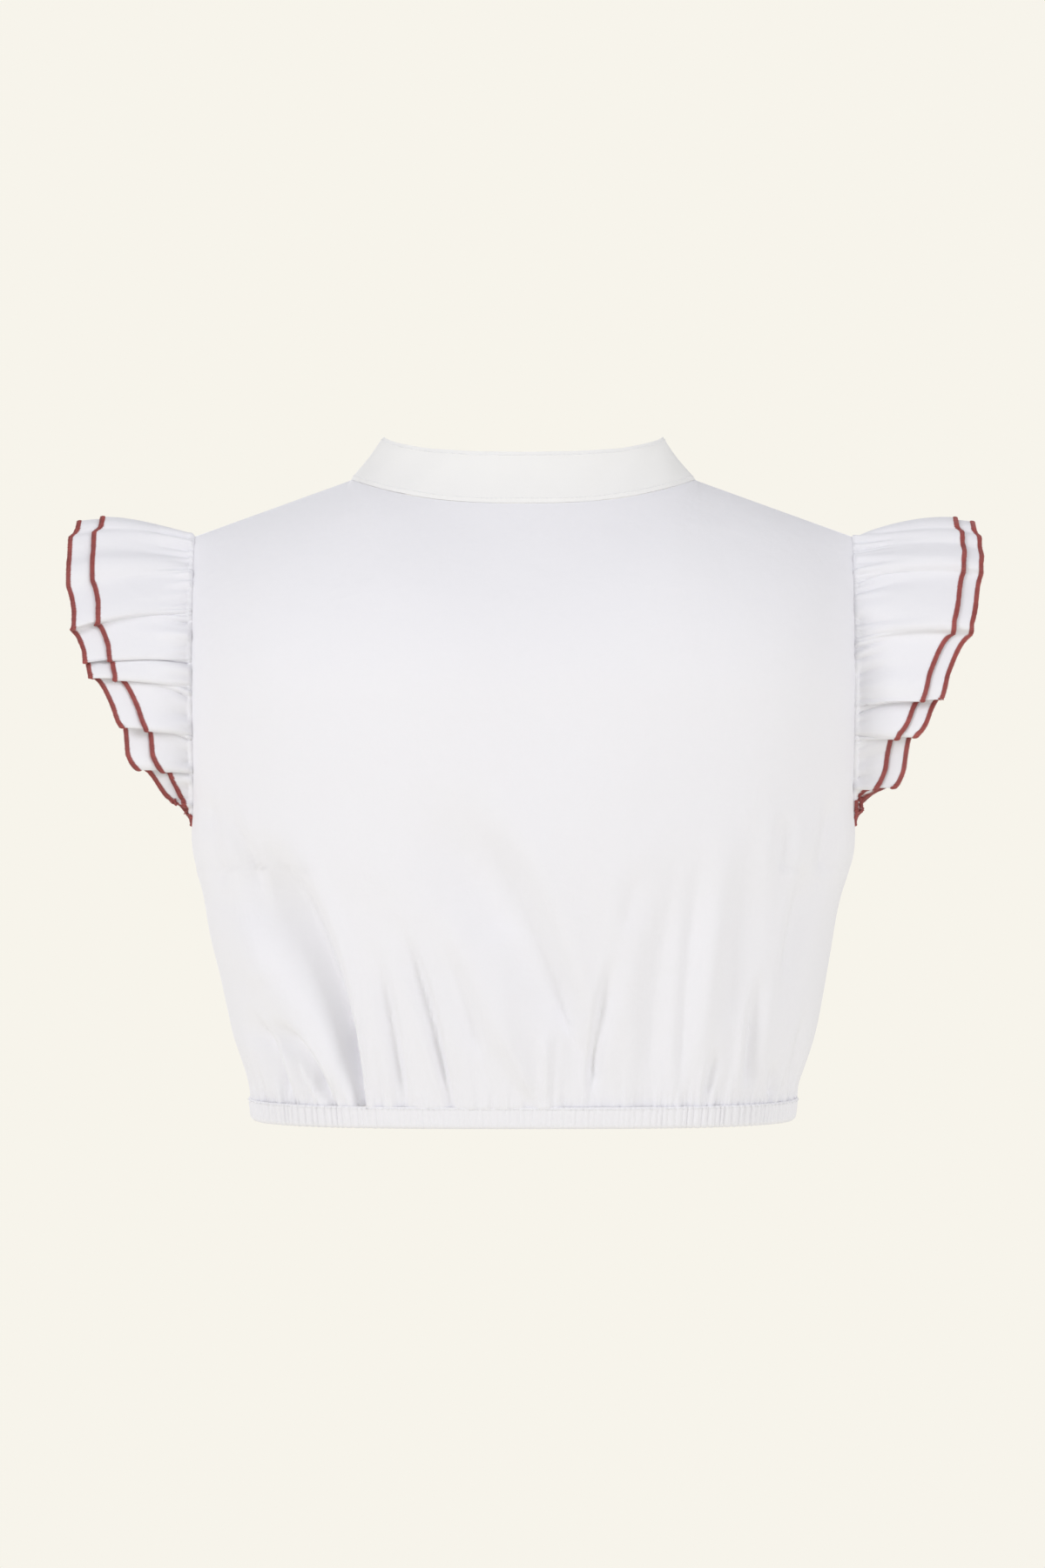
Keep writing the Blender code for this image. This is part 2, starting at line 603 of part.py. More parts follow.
def hole_cutter(name, number):
    """A six-sided pin that cuts one thread hole."""
    mesh = bmesh.new()
    bmesh.ops.create_cone(mesh, cap_ends=True, segments=5, radius1=0.0006, radius2=0.0006, depth=0.006)
    data = bpy.data.meshes.new(f"{name}_cutter")
    mesh.to_mesh(data)
    mesh.free()
    cutter = bpy.data.objects.new(f"{name}_cutter_{number + 1}", data)
    turn = math.pi / 4 + number * math.pi / 2
    cutter.location = (0.00165 * math.cos(turn), 0.00165 * math.sin(turn), 0.001)
    cutter.hide_render = True
    cutter.display_type = "WIRE"
    bpy.context.scene.collection.objects.link(cutter)
    return cutter


def build():
    clear_scene()
    cotton = material("white_cotton", WHITE, 0.85)
    shell = material("white_button", BUTTON_WHITE, 0.35)
    gap = SEAM_GAP / 2
    body_panel("back_panel", 1, -1.0, 1.0, cotton)
    body_panel("front_panel_left", -1, gap - UNDERLAP, 1.0, cotton)
    body_panel("front_panel_right", -1, -1.0, -gap - UNDERLAP, cotton)
    hem_casing("hem_casing_back", 1, -1.0, 1.0, cotton)
    hem_casing("hem_casing_left", -1, gap - UNDERLAP, 1.0, cotton)
    hem_casing("hem_casing_right", -1, -1.0, -gap - UNDERLAP, cotton)
    placket(cotton)
    collar(cotton)
    for side, sign in (("left", 1), ("right", -1)):
        for layer in ("top", "under"):
            frill(f"frill_{side}_{layer}", sign, layer, cotton)
    for number, height in enumerate(BUTTON_HEIGHTS, 1):
        button(number, height, shell)


build()
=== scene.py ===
import json
import math
import random

import bpy
import numpy as np
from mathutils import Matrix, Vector

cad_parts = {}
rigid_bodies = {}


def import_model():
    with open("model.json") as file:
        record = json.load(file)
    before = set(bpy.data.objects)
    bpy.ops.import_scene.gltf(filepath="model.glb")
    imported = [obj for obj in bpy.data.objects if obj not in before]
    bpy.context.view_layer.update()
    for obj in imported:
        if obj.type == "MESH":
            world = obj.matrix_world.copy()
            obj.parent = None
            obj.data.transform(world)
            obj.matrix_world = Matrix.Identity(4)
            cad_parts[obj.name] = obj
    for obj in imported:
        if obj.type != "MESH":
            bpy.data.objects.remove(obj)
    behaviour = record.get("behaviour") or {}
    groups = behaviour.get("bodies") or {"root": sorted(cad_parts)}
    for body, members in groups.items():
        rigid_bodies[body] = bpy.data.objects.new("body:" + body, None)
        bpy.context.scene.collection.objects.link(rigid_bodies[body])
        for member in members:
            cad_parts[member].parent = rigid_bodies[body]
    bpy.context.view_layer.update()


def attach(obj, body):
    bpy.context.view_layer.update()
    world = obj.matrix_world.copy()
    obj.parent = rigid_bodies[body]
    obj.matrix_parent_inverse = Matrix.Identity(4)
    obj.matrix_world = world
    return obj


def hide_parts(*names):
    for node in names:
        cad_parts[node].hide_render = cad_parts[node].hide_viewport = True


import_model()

# The body's form, the same as its solids'. Sections are (height, half width, back depth, front depth, squareness).
form = {
    "shoulderTip": np.array([0.1895, 0.0, -0.016]),
    "neckPoint": np.array([0.0990, 0.008, 0.016]),
    "backNeck": {"reach": 0.050, "drop": 0.016},
    "frontNeck": {"reach": 0.107, "drop": 0.092},
    "underarm": -0.206,
    "armholeMiddle": -0.120,
    "armholeReach": {1: 0.045, -1: 0.050},
    "chest": -0.110,
    "hem": -0.3485,
    "casingTop": -0.3365,
    "neckSpan": 0.47,
    "sections": np.array(
        (
            (-0.35, 0.154, 0.1, 0.102, 2.9),
            (-0.3365, 0.1555, 0.1015, 0.1045, 2.9),
            (-0.3, 0.166, 0.108, 0.117, 2.7),
            (-0.258, 0.1745, 0.113, 0.129, 2.5),
            (-0.22, 0.1825, 0.116, 0.133, 2.4),
            (-0.206, 0.187, 0.117, 0.132, 2.4),
            (-0.16, 0.187, 0.118, 0.125, 2.4),
            (-0.11, 0.1875, 0.1175, 0.112, 2.4),
        )
    ),
}


def unit(vectors):
    return vectors / np.maximum(np.linalg.norm(vectors, axis=-1, keepdims=True), 1e-12)


def smoothStep(value, low, high):
    share = np.clip((value - low) / (high - low), 0.0, 1.0)
    return share * share * (3.0 - 2.0 * share)


def sectionValue(column, height):
    heights, values = form["sections"][:, 0], form["sections"][:, column]
    slopes = np.gradient(values, heights)
    low = int(np.clip(np.searchsorted(heights, height) - 1, 0, len(heights) - 2))
    step = heights[low + 1] - heights[low]
    t = float(np.clip((height - heights[low]) / step, 0.0, 1.0))
    ends = (2 * t**3 - 3 * t**2 + 1) * values[low] + (3 * t**2 - 2 * t**3) * values[low + 1]
    return ends + step * ((t**3 - 2 * t**2 + t) * slopes[low] + (t**3 - t**2) * slopes[low + 1])


# Side 1 is the back and -1 the front. A span runs along a row from -1 at the right edge to 1 at the left.
def armholeReach(side, height):
    if height <= form["underarm"]:
        return 0.0
    end = form["underarm"] if height < form["armholeMiddle"] else form["shoulderTip"][2]
    share = (height - form["armholeMiddle"]) / (end - form["armholeMiddle"])
    return form["armholeReach"][side] * math.sqrt(max(0.0, 1.0 - share * share))


def halfSection(side, height):
    width, power = sectionValue(1, height), sectionValue(4, height)
    depth = sectionValue(2 if side > 0 else 3, height)
    edge = armholeReach(side, height)
    fullWidth = width / (1.0 - (edge / depth) ** power) ** (1.0 / power)
    turns = np.linspace(0.0, math.atan2(width, edge), 401)
    radius = ((np.sin(turns) / fullWidth) ** power + (np.cos(turns) / depth) ** power) ** (-1.0 / power)
    x, y = radius * np.sin(turns), radius * np.cos(turns)
    return x, y, np.concatenate([[0.0], np.cumsum(np.hypot(np.diff(x), np.diff(y)))])


def sectionRow(side, spans, height):
    x, y, distance = halfSection(side, height)
    along = np.abs(spans) * distance[-1]
    xs = np.sign(spans) * np.interp(along, distance, x)
    return np.stack([xs, side * np.interp(along, distance, y), np.full(len(spans), height)], axis=1)


def topEdge(side, spans):
    reach = np.abs(spans)
    neckSpan, neckPoint = form["neckSpan"], form["neckPoint"]
    shoulder = np.clip((reach - neckSpan) / (1.0 - neckSpan), 0.0, 1.0)
    turn = np.clip(reach / neckSpan, 0.0, 1.0) * math.pi / 2
    across, forward = np.sin(turn), np.cos(turn) ** 0.9
    edge = form["backNeck" if side > 0 else "frontNeck"]
    neck = np.stack(
        [
            neckPoint[0] * across,
            neckPoint[1] + side * edge["reach"] * forward,
            neckPoint[2] - edge["drop"] * (1.0 - across ** (2.6 if side > 0 else 2.0)),
        ],
        axis=1,
    )
    seam = neckPoint + (form["shoulderTip"] - neckPoint) * shoulder[:, None]
    points = np.where((reach > neckSpan)[:, None], seam, neck)
    points[:, 0] *= np.where(spans < 0, -1.0, 1.0)
    return points


def heightAt(level):
    return form["casingTop"] + (form["chest"] - form["casingTop"]) * min(level, 1.0)


# Level 0 is the casing's top, 1 the chest and 2 the shoulder seam and neckline.
def bodyRow(side, spans, level):
    start = sectionRow(side, spans, heightAt(level))
    if level <= 1.0:
        return start
    end = topEdge(side, spans)
    if level < 1.999:
        soft = sum(topEdge(side, np.clip(spans + step, -1.0, 1.0)) for step in (-0.07, -0.035, 0.0, 0.035, 0.07)) / 5
        near = np.exp(-(((np.abs(spans) - form["neckSpan"]) / 0.12) ** 2)) * (1.0 - smoothStep(level, 1.8, 2.0))
        end = end + (soft - end) * near[:, None]
    rising = unit(start - sectionRow(side, spans, form["chest"] - 0.002))
    chord = end - start
    reach = np.linalg.norm(chord, axis=1, keepdims=True)
    straight = chord / reach
    rounded = 2.0 * (straight * rising).sum(axis=1, keepdims=True) * straight - rising
    roundness = 0.45 + 0.55 * smoothStep(np.abs(spans), 0.0, form["neckSpan"])[:, None]
    arriving = unit(straight + (rounded - straight) * roundness)
    t = level - 1.0
    ends = (2 * t**3 - 3 * t**2 + 1) * start + (3 * t**2 - 2 * t**3) * end
    return ends + reach * ((t**3 - 2 * t**2 + t) * rising + (t**3 - t**2) * arriving)


def centreSpan(offset, level):
    below = offset / halfSection(-1, heightAt(level))[2][-1]
    if level <= 1.0:
        return below
    atNeck = form["neckSpan"] * math.asin(offset / form["neckPoint"][0]) / (math.pi / 2)
    return below + (atNeck - below) * (level - 1.0)


def panelSpans(start, end, level, counts):
    low = centreSpan(start, level) if abs(start) < 0.5 else start
    high = centreSpan(end, level) if abs(end) < 0.5 else end
    neckSpan = form["neckSpan"]
    stops = [low, *(stop for stop in (-neckSpan, neckSpan) if low < stop < high), high]
    parts = [np.array([low])]
    for a, b in zip(stops, stops[1:]):
        outside = max(abs(a), abs(b)) > neckSpan + 1e-6
        number = counts[0] if outside else counts[1] * (2 if a < -0.4 and b > 0.4 else 1)
        parts.append(np.linspace(a, b, number + 1)[1:])
    return np.concatenate(parts)


# A shell of cloth between two sheets of points. A row may have half as many columns as the one below it.
def shell(name, outer, inner, material, uvs=None, sharp=55):
    counts = [len(row) for row in outer]
    firsts = np.concatenate([[0], np.cumsum(counts)])
    total = int(firsts[-1])
    faces = []
    for i in range(len(outer) - 1):
        low, high, n = firsts[i], firsts[i + 1], counts[i + 1]
        if counts[i] == n:
            k = np.arange(n - 1)
            faces += np.stack([low + k, low + k + 1, high + k + 1, high + k], axis=1).tolist()
        else:
            for k in range(n - 1):
                a, m, b = low + 2 * k, low + 2 * k + 1, low + 2 * k + 2
                faces += [[a, m, high + k], [m, high + k + 1, high + k], [m, b, high + k + 1]]
    rim = list(range(counts[0])) + [int(firsts[i + 1] - 1) for i in range(1, len(outer) - 1)]
    rim += list(range(total - 1, int(firsts[-2]) - 1, -1)) + [int(firsts[i]) for i in range(len(outer) - 2, 0, -1)]
    backs = [[v + total for v in face[::-1]] for face in faces]
    edge = [[b, a, a + total, b + total] for a, b in zip(rim, rim[1:] + rim[:1])]
    points = np.concatenate([*outer, *inner])
    allFaces = faces + backs + edge
    probe = np.array(faces[len(faces) // 2][:3])
    normal = np.cross(points[probe[1]] - points[probe[0]], points[probe[2]] - points[probe[0]])
    if normal @ (points[probe[0]] - points[probe[0] + total]) < 0:
        allFaces = [face[::-1] for face in allFaces]
    mesh = bpy.data.meshes.new(name)
    mesh.from_pydata(points.tolist(), [], allFaces)
    if uvs is not None:
        flat = np.concatenate([*uvs, *uvs])
        layer = mesh.uv_layers.new(name="cut")
        corners = np.empty(len(mesh.loops), dtype=np.int32)
        mesh.loops.foreach_get("vertex_index", corners)
        layer.data.foreach_set("uv", flat[corners].astype(np.float32).ravel())
    mesh.materials.append(material)
    mesh.shade_smooth()
    mesh.set_sharp_from_angle(angle=math.radians(sharp))
    mesh.update()
    obj = bpy.data.objects.new(name, mesh)
    bpy.context.scene.collection.objects.link(obj)
    return obj


# Every cloth piece rides on the one body and stands for its solid
def dress(piece, node):
    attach(piece, "root")
    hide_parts(node)


# The point, or row of points, that lies at a share of the way through the rows
def between(rows, share):
    at = share * (len(rows) - 1)
    k, t = int(at), at - int(at)
    return rows[k] * (1 - t) + rows[k + 1] * t


def plainMesh(name, points, faces, material, smooth=True):
    mesh = bpy.data.meshes.new(name)
    mesh.from_pydata([tuple(p) for p in points], [], faces)
    mesh.materials.append(material)
    if smooth:
        mesh.shade_smooth()
    mesh.update()
    obj = bpy.data.objects.new(name, mesh)
    bpy.context.scene.collection.objects.link(obj)
    return obj


# Shader groups
def newGroup(name, inputs, outputs):
    tree = bpy.data.node_groups.new(name, "ShaderNodeTree")
    for socketName, kind, value in inputs:
        socket = tree.interface.new_socket(socketName, in_out="INPUT", socket_type=kind)
        if value is not None:
            socket.default_value = value
    for socketName, kind in outputs:
        tree.interface.new_socket(socketName, in_out="OUTPUT", socket_type=kind)
    return tree, tree.nodes.new("NodeGroupInput"), tree.nodes.new("NodeGroupOutput")


def mathNode(tree, operation, *values):
    node = tree.nodes.new("ShaderNodeMath")
    node.operation = operation
    for socket, value in zip(node.inputs, values):
        if isinstance(value, (int, float)):
            socket.default_value = value
        else:
            tree.links.new(value, socket)
    return node.outputs[0]


def noiseNode(tree, vector, scale, detail=2.0, roughness=0.5, distortion=0.0):
    node = tree.nodes.new("ShaderNodeTexNoise")
    tree.links.new(vector, node.inputs["Vector"])
    node.inputs["Scale"].default_value = scale
    node.inputs["Detail"].default_value = detail
    node.inputs["Roughness"].default_value = roughness
    node.inputs["Distortion"].default_value = distortion
    return node.outputs["Fac"]


# Plain weave: warp and weft threads that pass over and under each other, with slightly uneven yarn.
def weaveGroup():
    tree, inside, outside = newGroup(
        "plainWeave",
        (("Cut", "NodeSocketVector", None), ("Threads", "NodeSocketFloat", 2900.0)),
        (("Height", "NodeSocketFloat"), ("Yarn", "NodeSocketFloat")),
    )
    split = tree.nodes.new("ShaderNodeSeparateXYZ")
    tree.links.new(inside.outputs["Cut"], split.inputs[0])
    wobble = noiseNode(tree, inside.outputs["Cut"], 190.0, 2.0)
    shift = mathNode(tree, "MULTIPLY", mathNode(tree, "SUBTRACT", wobble, 0.5), 0.0011)
    across = mathNode(tree, "MULTIPLY", mathNode(tree, "ADD", split.outputs[0], shift), inside.outputs["Threads"])
    along = mathNode(tree, "MULTIPLY", mathNode(tree, "SUBTRACT", split.outputs[1], shift), inside.outputs["Threads"])
    sines = [mathNode(tree, "SINE", mathNode(tree, "MULTIPLY", way, math.pi)) for way in (across, along)]
    warp, weft = (mathNode(tree, "ABSOLUTE", sine) for sine in sines)
    over = mathNode(tree, "MULTIPLY", *sines)
    choice = mathNode(tree, "GREATER_THAN", over, 0.0)
    top = mathNode(tree, "MULTIPLY", choice, mathNode(tree, "SUBTRACT", warp, weft))
    height = mathNode(tree, "ADD", weft, top)
    tree.links.new(height, outside.inputs["Height"])
    tree.links.new(noiseNode(tree, inside.outputs["Cut"], 900.0, 3.0, 0.6), outside.inputs["Yarn"])
    return tree


# The soft unevenness of washed and pressed cotton, from object coordinates, so that it crosses the seams.
def crumpleGroup():
    tree, inside, outside = newGroup(
        "pressedCotton", (("Place", "NodeSocketVector", None),), (("Height", "NodeSocketFloat"),)
    )
    broad = noiseNode(tree, inside.outputs["Place"], 26.0, 2.0, 0.45, 0.4)
    fine = noiseNode(tree, inside.outputs["Place"], 115.0, 3.0, 0.55, 0.3)
    both = mathNode(tree, "ADD", mathNode(tree, "MULTIPLY", broad, 0.75), mathNode(tree, "MULTIPLY", fine, 0.25))
    tree.links.new(both, outside.inputs["Height"])
    return tree


groups = {"weave": weaveGroup(), "crumple": crumpleGroup()}


def useGroup(tree, name):
    node = tree.nodes.new("ShaderNodeGroup")
    node.node_tree = groups[name]
    return node


def mixColour(tree, factor, first, second):
    node = tree.nodes.new("ShaderNodeMix")
    node.data_type = "RGBA"
    tree.links.new(factor, node.inputs["Factor"])
    node.inputs["A"].default_value = first
    node.inputs["B"].default_value = second
    return node.outputs["Result"]


def bumpNode(tree, height, strength, distance, normal=None):
    node = tree.nodes.new("ShaderNodeBump")
    node.inputs["Strength"].default_value = strength
    node.inputs["Distance"].default_value = distance
    tree.links.new(height, node.inputs["Height"])
    if normal is not None:
        tree.links.new(normal, node.inputs["Normal"])
    return node.outputs["Normal"]


def newMaterial(name, roughness):
    material = bpy.data.materials.new(name)
    material.use_nodes = True
    shader = material.node_tree.nodes["Principled BSDF"]
    shader.inputs["Roughness"].default_value = roughness
    shader.inputs["Metallic"].default_value = 0.0
    return material, material.node_tree, shader


def cottonMaterial(name, bright, shade, crumple=1.0):
    material, tree, shader = newMaterial(name, 0.9)
    shader.inputs["Specular IOR Level"].default_value = 0.25
    shader.inputs["Sheen Weight"].default_value = 0.12
    shader.inputs["Sheen Roughness"].default_value = 0.45
    cut = tree.nodes.new("ShaderNodeUVMap")
    cut.uv_map = "cut"
    place = tree.nodes.new("ShaderNodeTexCoord")
    weave, creased = useGroup(tree, "weave"), useGroup(tree, "crumple")
    tree.links.new(cut.outputs["UV"], weave.inputs["Cut"])
    tree.links.new(place.outputs["Object"], creased.inputs["Place"])
    # The base colour carries painted shade: darker where a thread dips under its neighbour in the weave, mixed with
    # the yarn's own uneven tone.
    tone = mathNode(
        tree,
        "ADD",
        mathNode(tree, "MULTIPLY", weave.outputs["Height"], 0.55),
        mathNode(tree, "MULTIPLY", weave.outputs["Yarn"], 0.45),
    )
    tree.links.new(mixColour(tree, tone, shade, bright), shader.inputs["Base Color"])
    soft = bumpNode(tree, creased.outputs["Height"], 0.35, 0.004 * crumple)
    woven = bumpNode(tree, weave.outputs["Height"], 0.35, 0.00012, soft)
    tree.links.new(woven, shader.inputs["Normal"])
    return material


def threadMaterial(name, dark, light, twist):
    material, tree, shader = newMaterial(name, 0.55)
    shader.inputs["Sheen Weight"].default_value = 0.25
    place = tree.nodes.new("ShaderNodeTexCoord")
    strands = noiseNode(tree, place.outputs["Object"], twist, 2.0, 0.6)
    broad = noiseNode(tree, place.outputs["Object"], 160.0, 2.0, 0.5)
    both = mathNode(tree, "ADD", mathNode(tree, "MULTIPLY", strands, 0.8), mathNode(tree, "MULTIPLY", broad, 0.45))
    ramp = mathNode(tree, "MULTIPLY", mathNode(tree, "SUBTRACT", both, 0.35), 1.8)
    tree.links.new(mixColour(tree, ramp, dark, light), shader.inputs["Base Color"])
    tree.links.new(bumpNode(tree, strands, 0.6, 0.0002), shader.inputs["Normal"])
    return material


def pearlMaterial():
    material, tree, shader = newMaterial("whiteButton", 0.28)
    shader.inputs["Coat Weight"].default_value = 0.4
    shader.inputs["Coat Roughness"].default_value = 0.15
    place = tree.nodes.new("ShaderNodeTexCoord")
    cloud = noiseNode(tree, place.outputs["Object"], 420.0, 4.0, 0.6, 1.5)
    tree.links.new(mixColour(tree, cloud, (0.80, 0.79, 0.78, 1), (0.92, 0.92, 0.93, 1)), shader.inputs["Base Color"])
    return material


cotton = cottonMaterial("whiteCotton", (0.856, 0.853, 0.884, 1), (0.816, 0.814, 0.848, 1))
collarCotton = cottonMaterial("collarCotton", (0.866, 0.864, 0.856, 1), (0.836, 0.834, 0.828, 1), 0.5)
whiteThread = threadMaterial("whiteThread", (0.80, 0.80, 0.82, 1), (0.93, 0.93, 0.94, 1), 3000.0)
redThread = threadMaterial("redThread", (0.20, 0.028, 0.026, 1), (0.50, 0.105, 0.090, 1), 2400.0)
pearl = pearlMaterial()
print("materials made")


# Repeats: one node tree that sets a small piece at each point of a path, turned by two directions.
def repeatTree():
    tree = bpy.data.node_groups.new("repeatAlong", "GeometryNodeTree")
    tree.is_modifier = True
    sockets = {}
    for name, kind, value in (
        ("Points", "NodeSocketGeometry", None),
        ("Piece", "NodeSocketObject", None),
        ("Uneven", "NodeSocketFloat", 0.1),
        ("Seed", "NodeSocketInt", 1),
        ("Material", "NodeSocketMaterial", None),
    ):
        socket = tree.interface.new_socket(name, in_out="INPUT", socket_type=kind)
        if value is not None:
            socket.default_value = value
        sockets[name] = socket.identifier
    tree.interface.new_socket("Geometry", in_out="OUTPUT", socket_type="NodeSocketGeometry")
    nodes, link = tree.nodes, tree.links.new
    inside, outside = nodes.new("NodeGroupInput"), nodes.new("NodeGroupOutput")
    turns = None
    for name, axis, pivot in (("along", "X", "AUTO"), ("facing", "Z", "X")):
        direction = nodes.new("GeometryNodeInputNamedAttribute")
        direction.data_type = "FLOAT_VECTOR"
        direction.inputs["Name"].default_value = name
        turn = nodes.new("FunctionNodeAlignRotationToVector")
        turn.axis, turn.pivot_axis = axis, pivot
        link(direction.outputs["Attribute"], turn.inputs["Vector"])
        if turns is not None:
            link(turns, turn.inputs["Rotation"])
        turns = turn.outputs["Rotation"]
    piece = nodes.new("GeometryNodeObjectInfo")
    link(inside.outputs["Piece"], piece.inputs["Object"])
    low, high = (nodes.new("ShaderNodeMath") for _ in range(2))
    low.operation, high.operation = "SUBTRACT", "ADD"
    for node in (low, high):
        node.inputs[0].default_value = 1.0
        link(inside.outputs["Uneven"], node.inputs[1])
    chance = nodes.new("FunctionNodeRandomValue")
    chance.data_type = "FLOAT"
    link(low.outputs[0], chance.inputs[2])
    link(high.outputs[0], chance.inputs[3])
    link(inside.outputs["Seed"], chance.inputs["Seed"])
    put = nodes.new("GeometryNodeInstanceOnPoints")
    link(inside.outputs["Points"], put.inputs["Points"])
    link(piece.outputs["Geometry"], put.inputs["Instance"])
    link(turns, put.inputs["Rotation"])
    link(chance.outputs[1], put.inputs["Scale"])
    real, dress = nodes.new("GeometryNodeRealizeInstances"), nodes.new("GeometryNodeSetMaterial")
    link(put.outputs["Instances"], real.inputs["Geometry"])
    link(real.outputs["Geometry"], dress.inputs["Geometry"])
    link(inside.outputs["Material"], dress.inputs["Material"])
    link(dress.outputs["Geometry"], outside.inputs["Geometry"])
    return tree, sockets


repeats, repeatSockets = repeatTree()


def repeatAlong(name, points, along, facing, piece, uneven, seed, material):
    mesh = bpy.data.meshes.new(name + "Points")
    mesh.from_pydata(np.asarray(points).tolist(), [], [])
    for attribute, values in (("along", along), ("facing", facing)):
        layer = mesh.attributes.new(attribute, "FLOAT_VECTOR", "POINT")
        layer.data.foreach_set("vector", np.asarray(values, dtype=np.float32).ravel())
    carrier = bpy.data.objects.new(name + "Points", mesh)
    bpy.context.scene.collection.objects.link(carrier)
    modifier = carrier.modifiers.new("repeat", "NODES")
    modifier.node_group = repeats
    for socket, value in (("Piece", piece), ("Uneven", uneven), ("Seed", seed), ("Material", material)):
        modifier[repeatSockets[socket]] = value
    graph = bpy.context.evaluated_depsgraph_get()
    made = bpy.data.meshes.new_from_object(carrier.evaluated_get(graph), depsgraph=graph)
    made.name = name
    made.shade_smooth()
    obj = bpy.data.objects.new(name, made)
    bpy.context.scene.collection.objects.link(obj)
    bpy.data.objects.remove(carrier)
    return obj


# Small thread pieces: one straight stitch, and one wrap of an overlock stitch round an edge
thread = {
    "stitchHalf": 0.0011,
    "stitchRise": 0.00016,
    "stitchSunk": 0.00004,
    "stitchRadius": 0.00019,
    "wrapHalfWidth": 0.00142,
    "wrapHalfThick": 0.00060,
    "wrapSlant": 0.00030,
    "wrapRadius": 0.00030,
}


def threadPiece(name, path, radius, sides, closed):
    path = np.asarray(path)
    n = len(path)
    ways = np.roll(path, -1, axis=0) - np.roll(path, 1, axis=0) if closed else np.gradient(path, axis=0)
    tangent = unit(ways)
    up = unit(np.cross(tangent, np.array([0.31, 0.85, 0.42])))
    side = np.cross(tangent, up)
    points, faces = [], []
    for i in range(n):
        thin = radius if closed else radius * (0.25 if i in (0, n - 1) else 1.0)
        for k in range(sides):
            a = 2 * math.pi * k / sides
            points.append(path[i] + thin * (math.cos(a) * up[i] + math.sin(a) * side[i]))
    for i in range(n if closed else n - 1):
        j = (i + 1) % n
        for k in range(sides):
            m = (k + 1) % sides
            faces.append((i * sides + k, i * sides + m, j * sides + m, j * sides + k))
    obj = plainMesh(name, points, faces, whiteThread)
    obj.hide_render = True
    return obj


stitchPiece = threadPiece(
    "stitchPiece",
    [
        (x * thread["stitchHalf"], 0.0, thread["stitchRise"] * (1 - x * x) - thread["stitchSunk"])
        for x in (-1.0, -0.6, 0.0, 0.6, 1.0)
    ],
    thread["stitchRadius"],
    5,
    False,
)


def wrapPath(count):
    turns = np.linspace(0, 2 * math.pi, count, endpoint=False)
    slant, width, thick = (thread[size] for size in ("wrapSlant", "wrapHalfWidth", "wrapHalfThick"))
    return [(slant * math.cos(a), width * math.cos(a), thick * math.sin(a)) for a in turns]


wrapPiece = threadPiece("wrapPiece", wrapPath(10), thread["wrapRadius"], 4, True)


def resample(points, *others, pitch):
    distance = np.concatenate([[0.0], np.cumsum(np.linalg.norm(np.diff(points, axis=0), axis=1))])
    at = np.arange(pitch / 2, distance[-1], pitch)
    return [
        np.stack([np.interp(at, distance, values[:, i]) for i in range(3)], axis=1)
        for values in (points, *others)
    ]


def stitchRow(name, points, facing, pitch=0.0029, seed=1, lift=0.00008):
    points, facing = np.asarray(points), unit(np.asarray(facing))
    along = unit(np.gradient(points, axis=0))
    at, ways, ups = resample(points, along, facing, pitch=pitch)
    return repeatAlong(name, at + unit(ups) * lift, unit(ways), unit(ups), stitchPiece, 0.06, seed, whiteThread)


def joinInto(name, objects):
    for obj in objects:
        obj.select_set(True)
    bpy.context.view_layer.objects.active = objects[0]
    with bpy.context.temp_override(active_object=objects[0], selected_editable_objects=objects):
        bpy.ops.object.join()
    objects[0].name = name
    objects[0].data.name = name
    return objects[0]


# Gathers at the hem: a ripple all round that the casing and the panels share, and tongues that fade upwards
def rippleTable(seed, length):
    chance = random.Random(seed)
    stops = [-length]
    while stops[-1] < length:
        stops.append(stops[-1] + chance.uniform(0.0024, 0.0050))
    heights = [chance.uniform(0.45, 1.0) for _ in stops]
    return np.array(stops), np.array(heights)


ripples = {1: rippleTable(11, 0.30), -1: rippleTable(12, 0.30)}


def ripple(side, distance):
    stops, heights = ripples[side]
    at = np.interp(distance, stops, np.arange(len(stops)))
    within = at - np.floor(at)
    height = np.interp(np.floor(at) + 0.5, np.arange(len(stops)), heights)
    return height * (np.sin(math.pi * within) ** 0.7 - 0.55)


def tongueTable(seed, number, reach, heights, widths, depths):
    chance = random.Random(seed)
    rows = []
    for i in range(number):
        at = -reach + 2 * reach * (i + chance.uniform(0.1, 0.9)) / number
        depth = chance.uniform(*depths) * (1 if chance.random() < 0.35 else -1)
        height = heights[0] + (heights[1] - heights[0]) * chance.random() ** 2
        rows.append((at, height, chance.uniform(*widths), depth, chance.uniform(-0.12, 0.12)))
    return np.array(rows)


def tongueRelief(table, distance, above):
    if above > 0.14:
        return np.zeros(len(distance))
    at, height, width, depth, lean = table.T
    away = (distance[:, None] - at - lean * above) / (width * (1 + above / 0.045))
    return (depth * np.exp(-(away**2)) * np.exp(-((above / height) ** 1.4))).sum(axis=1)


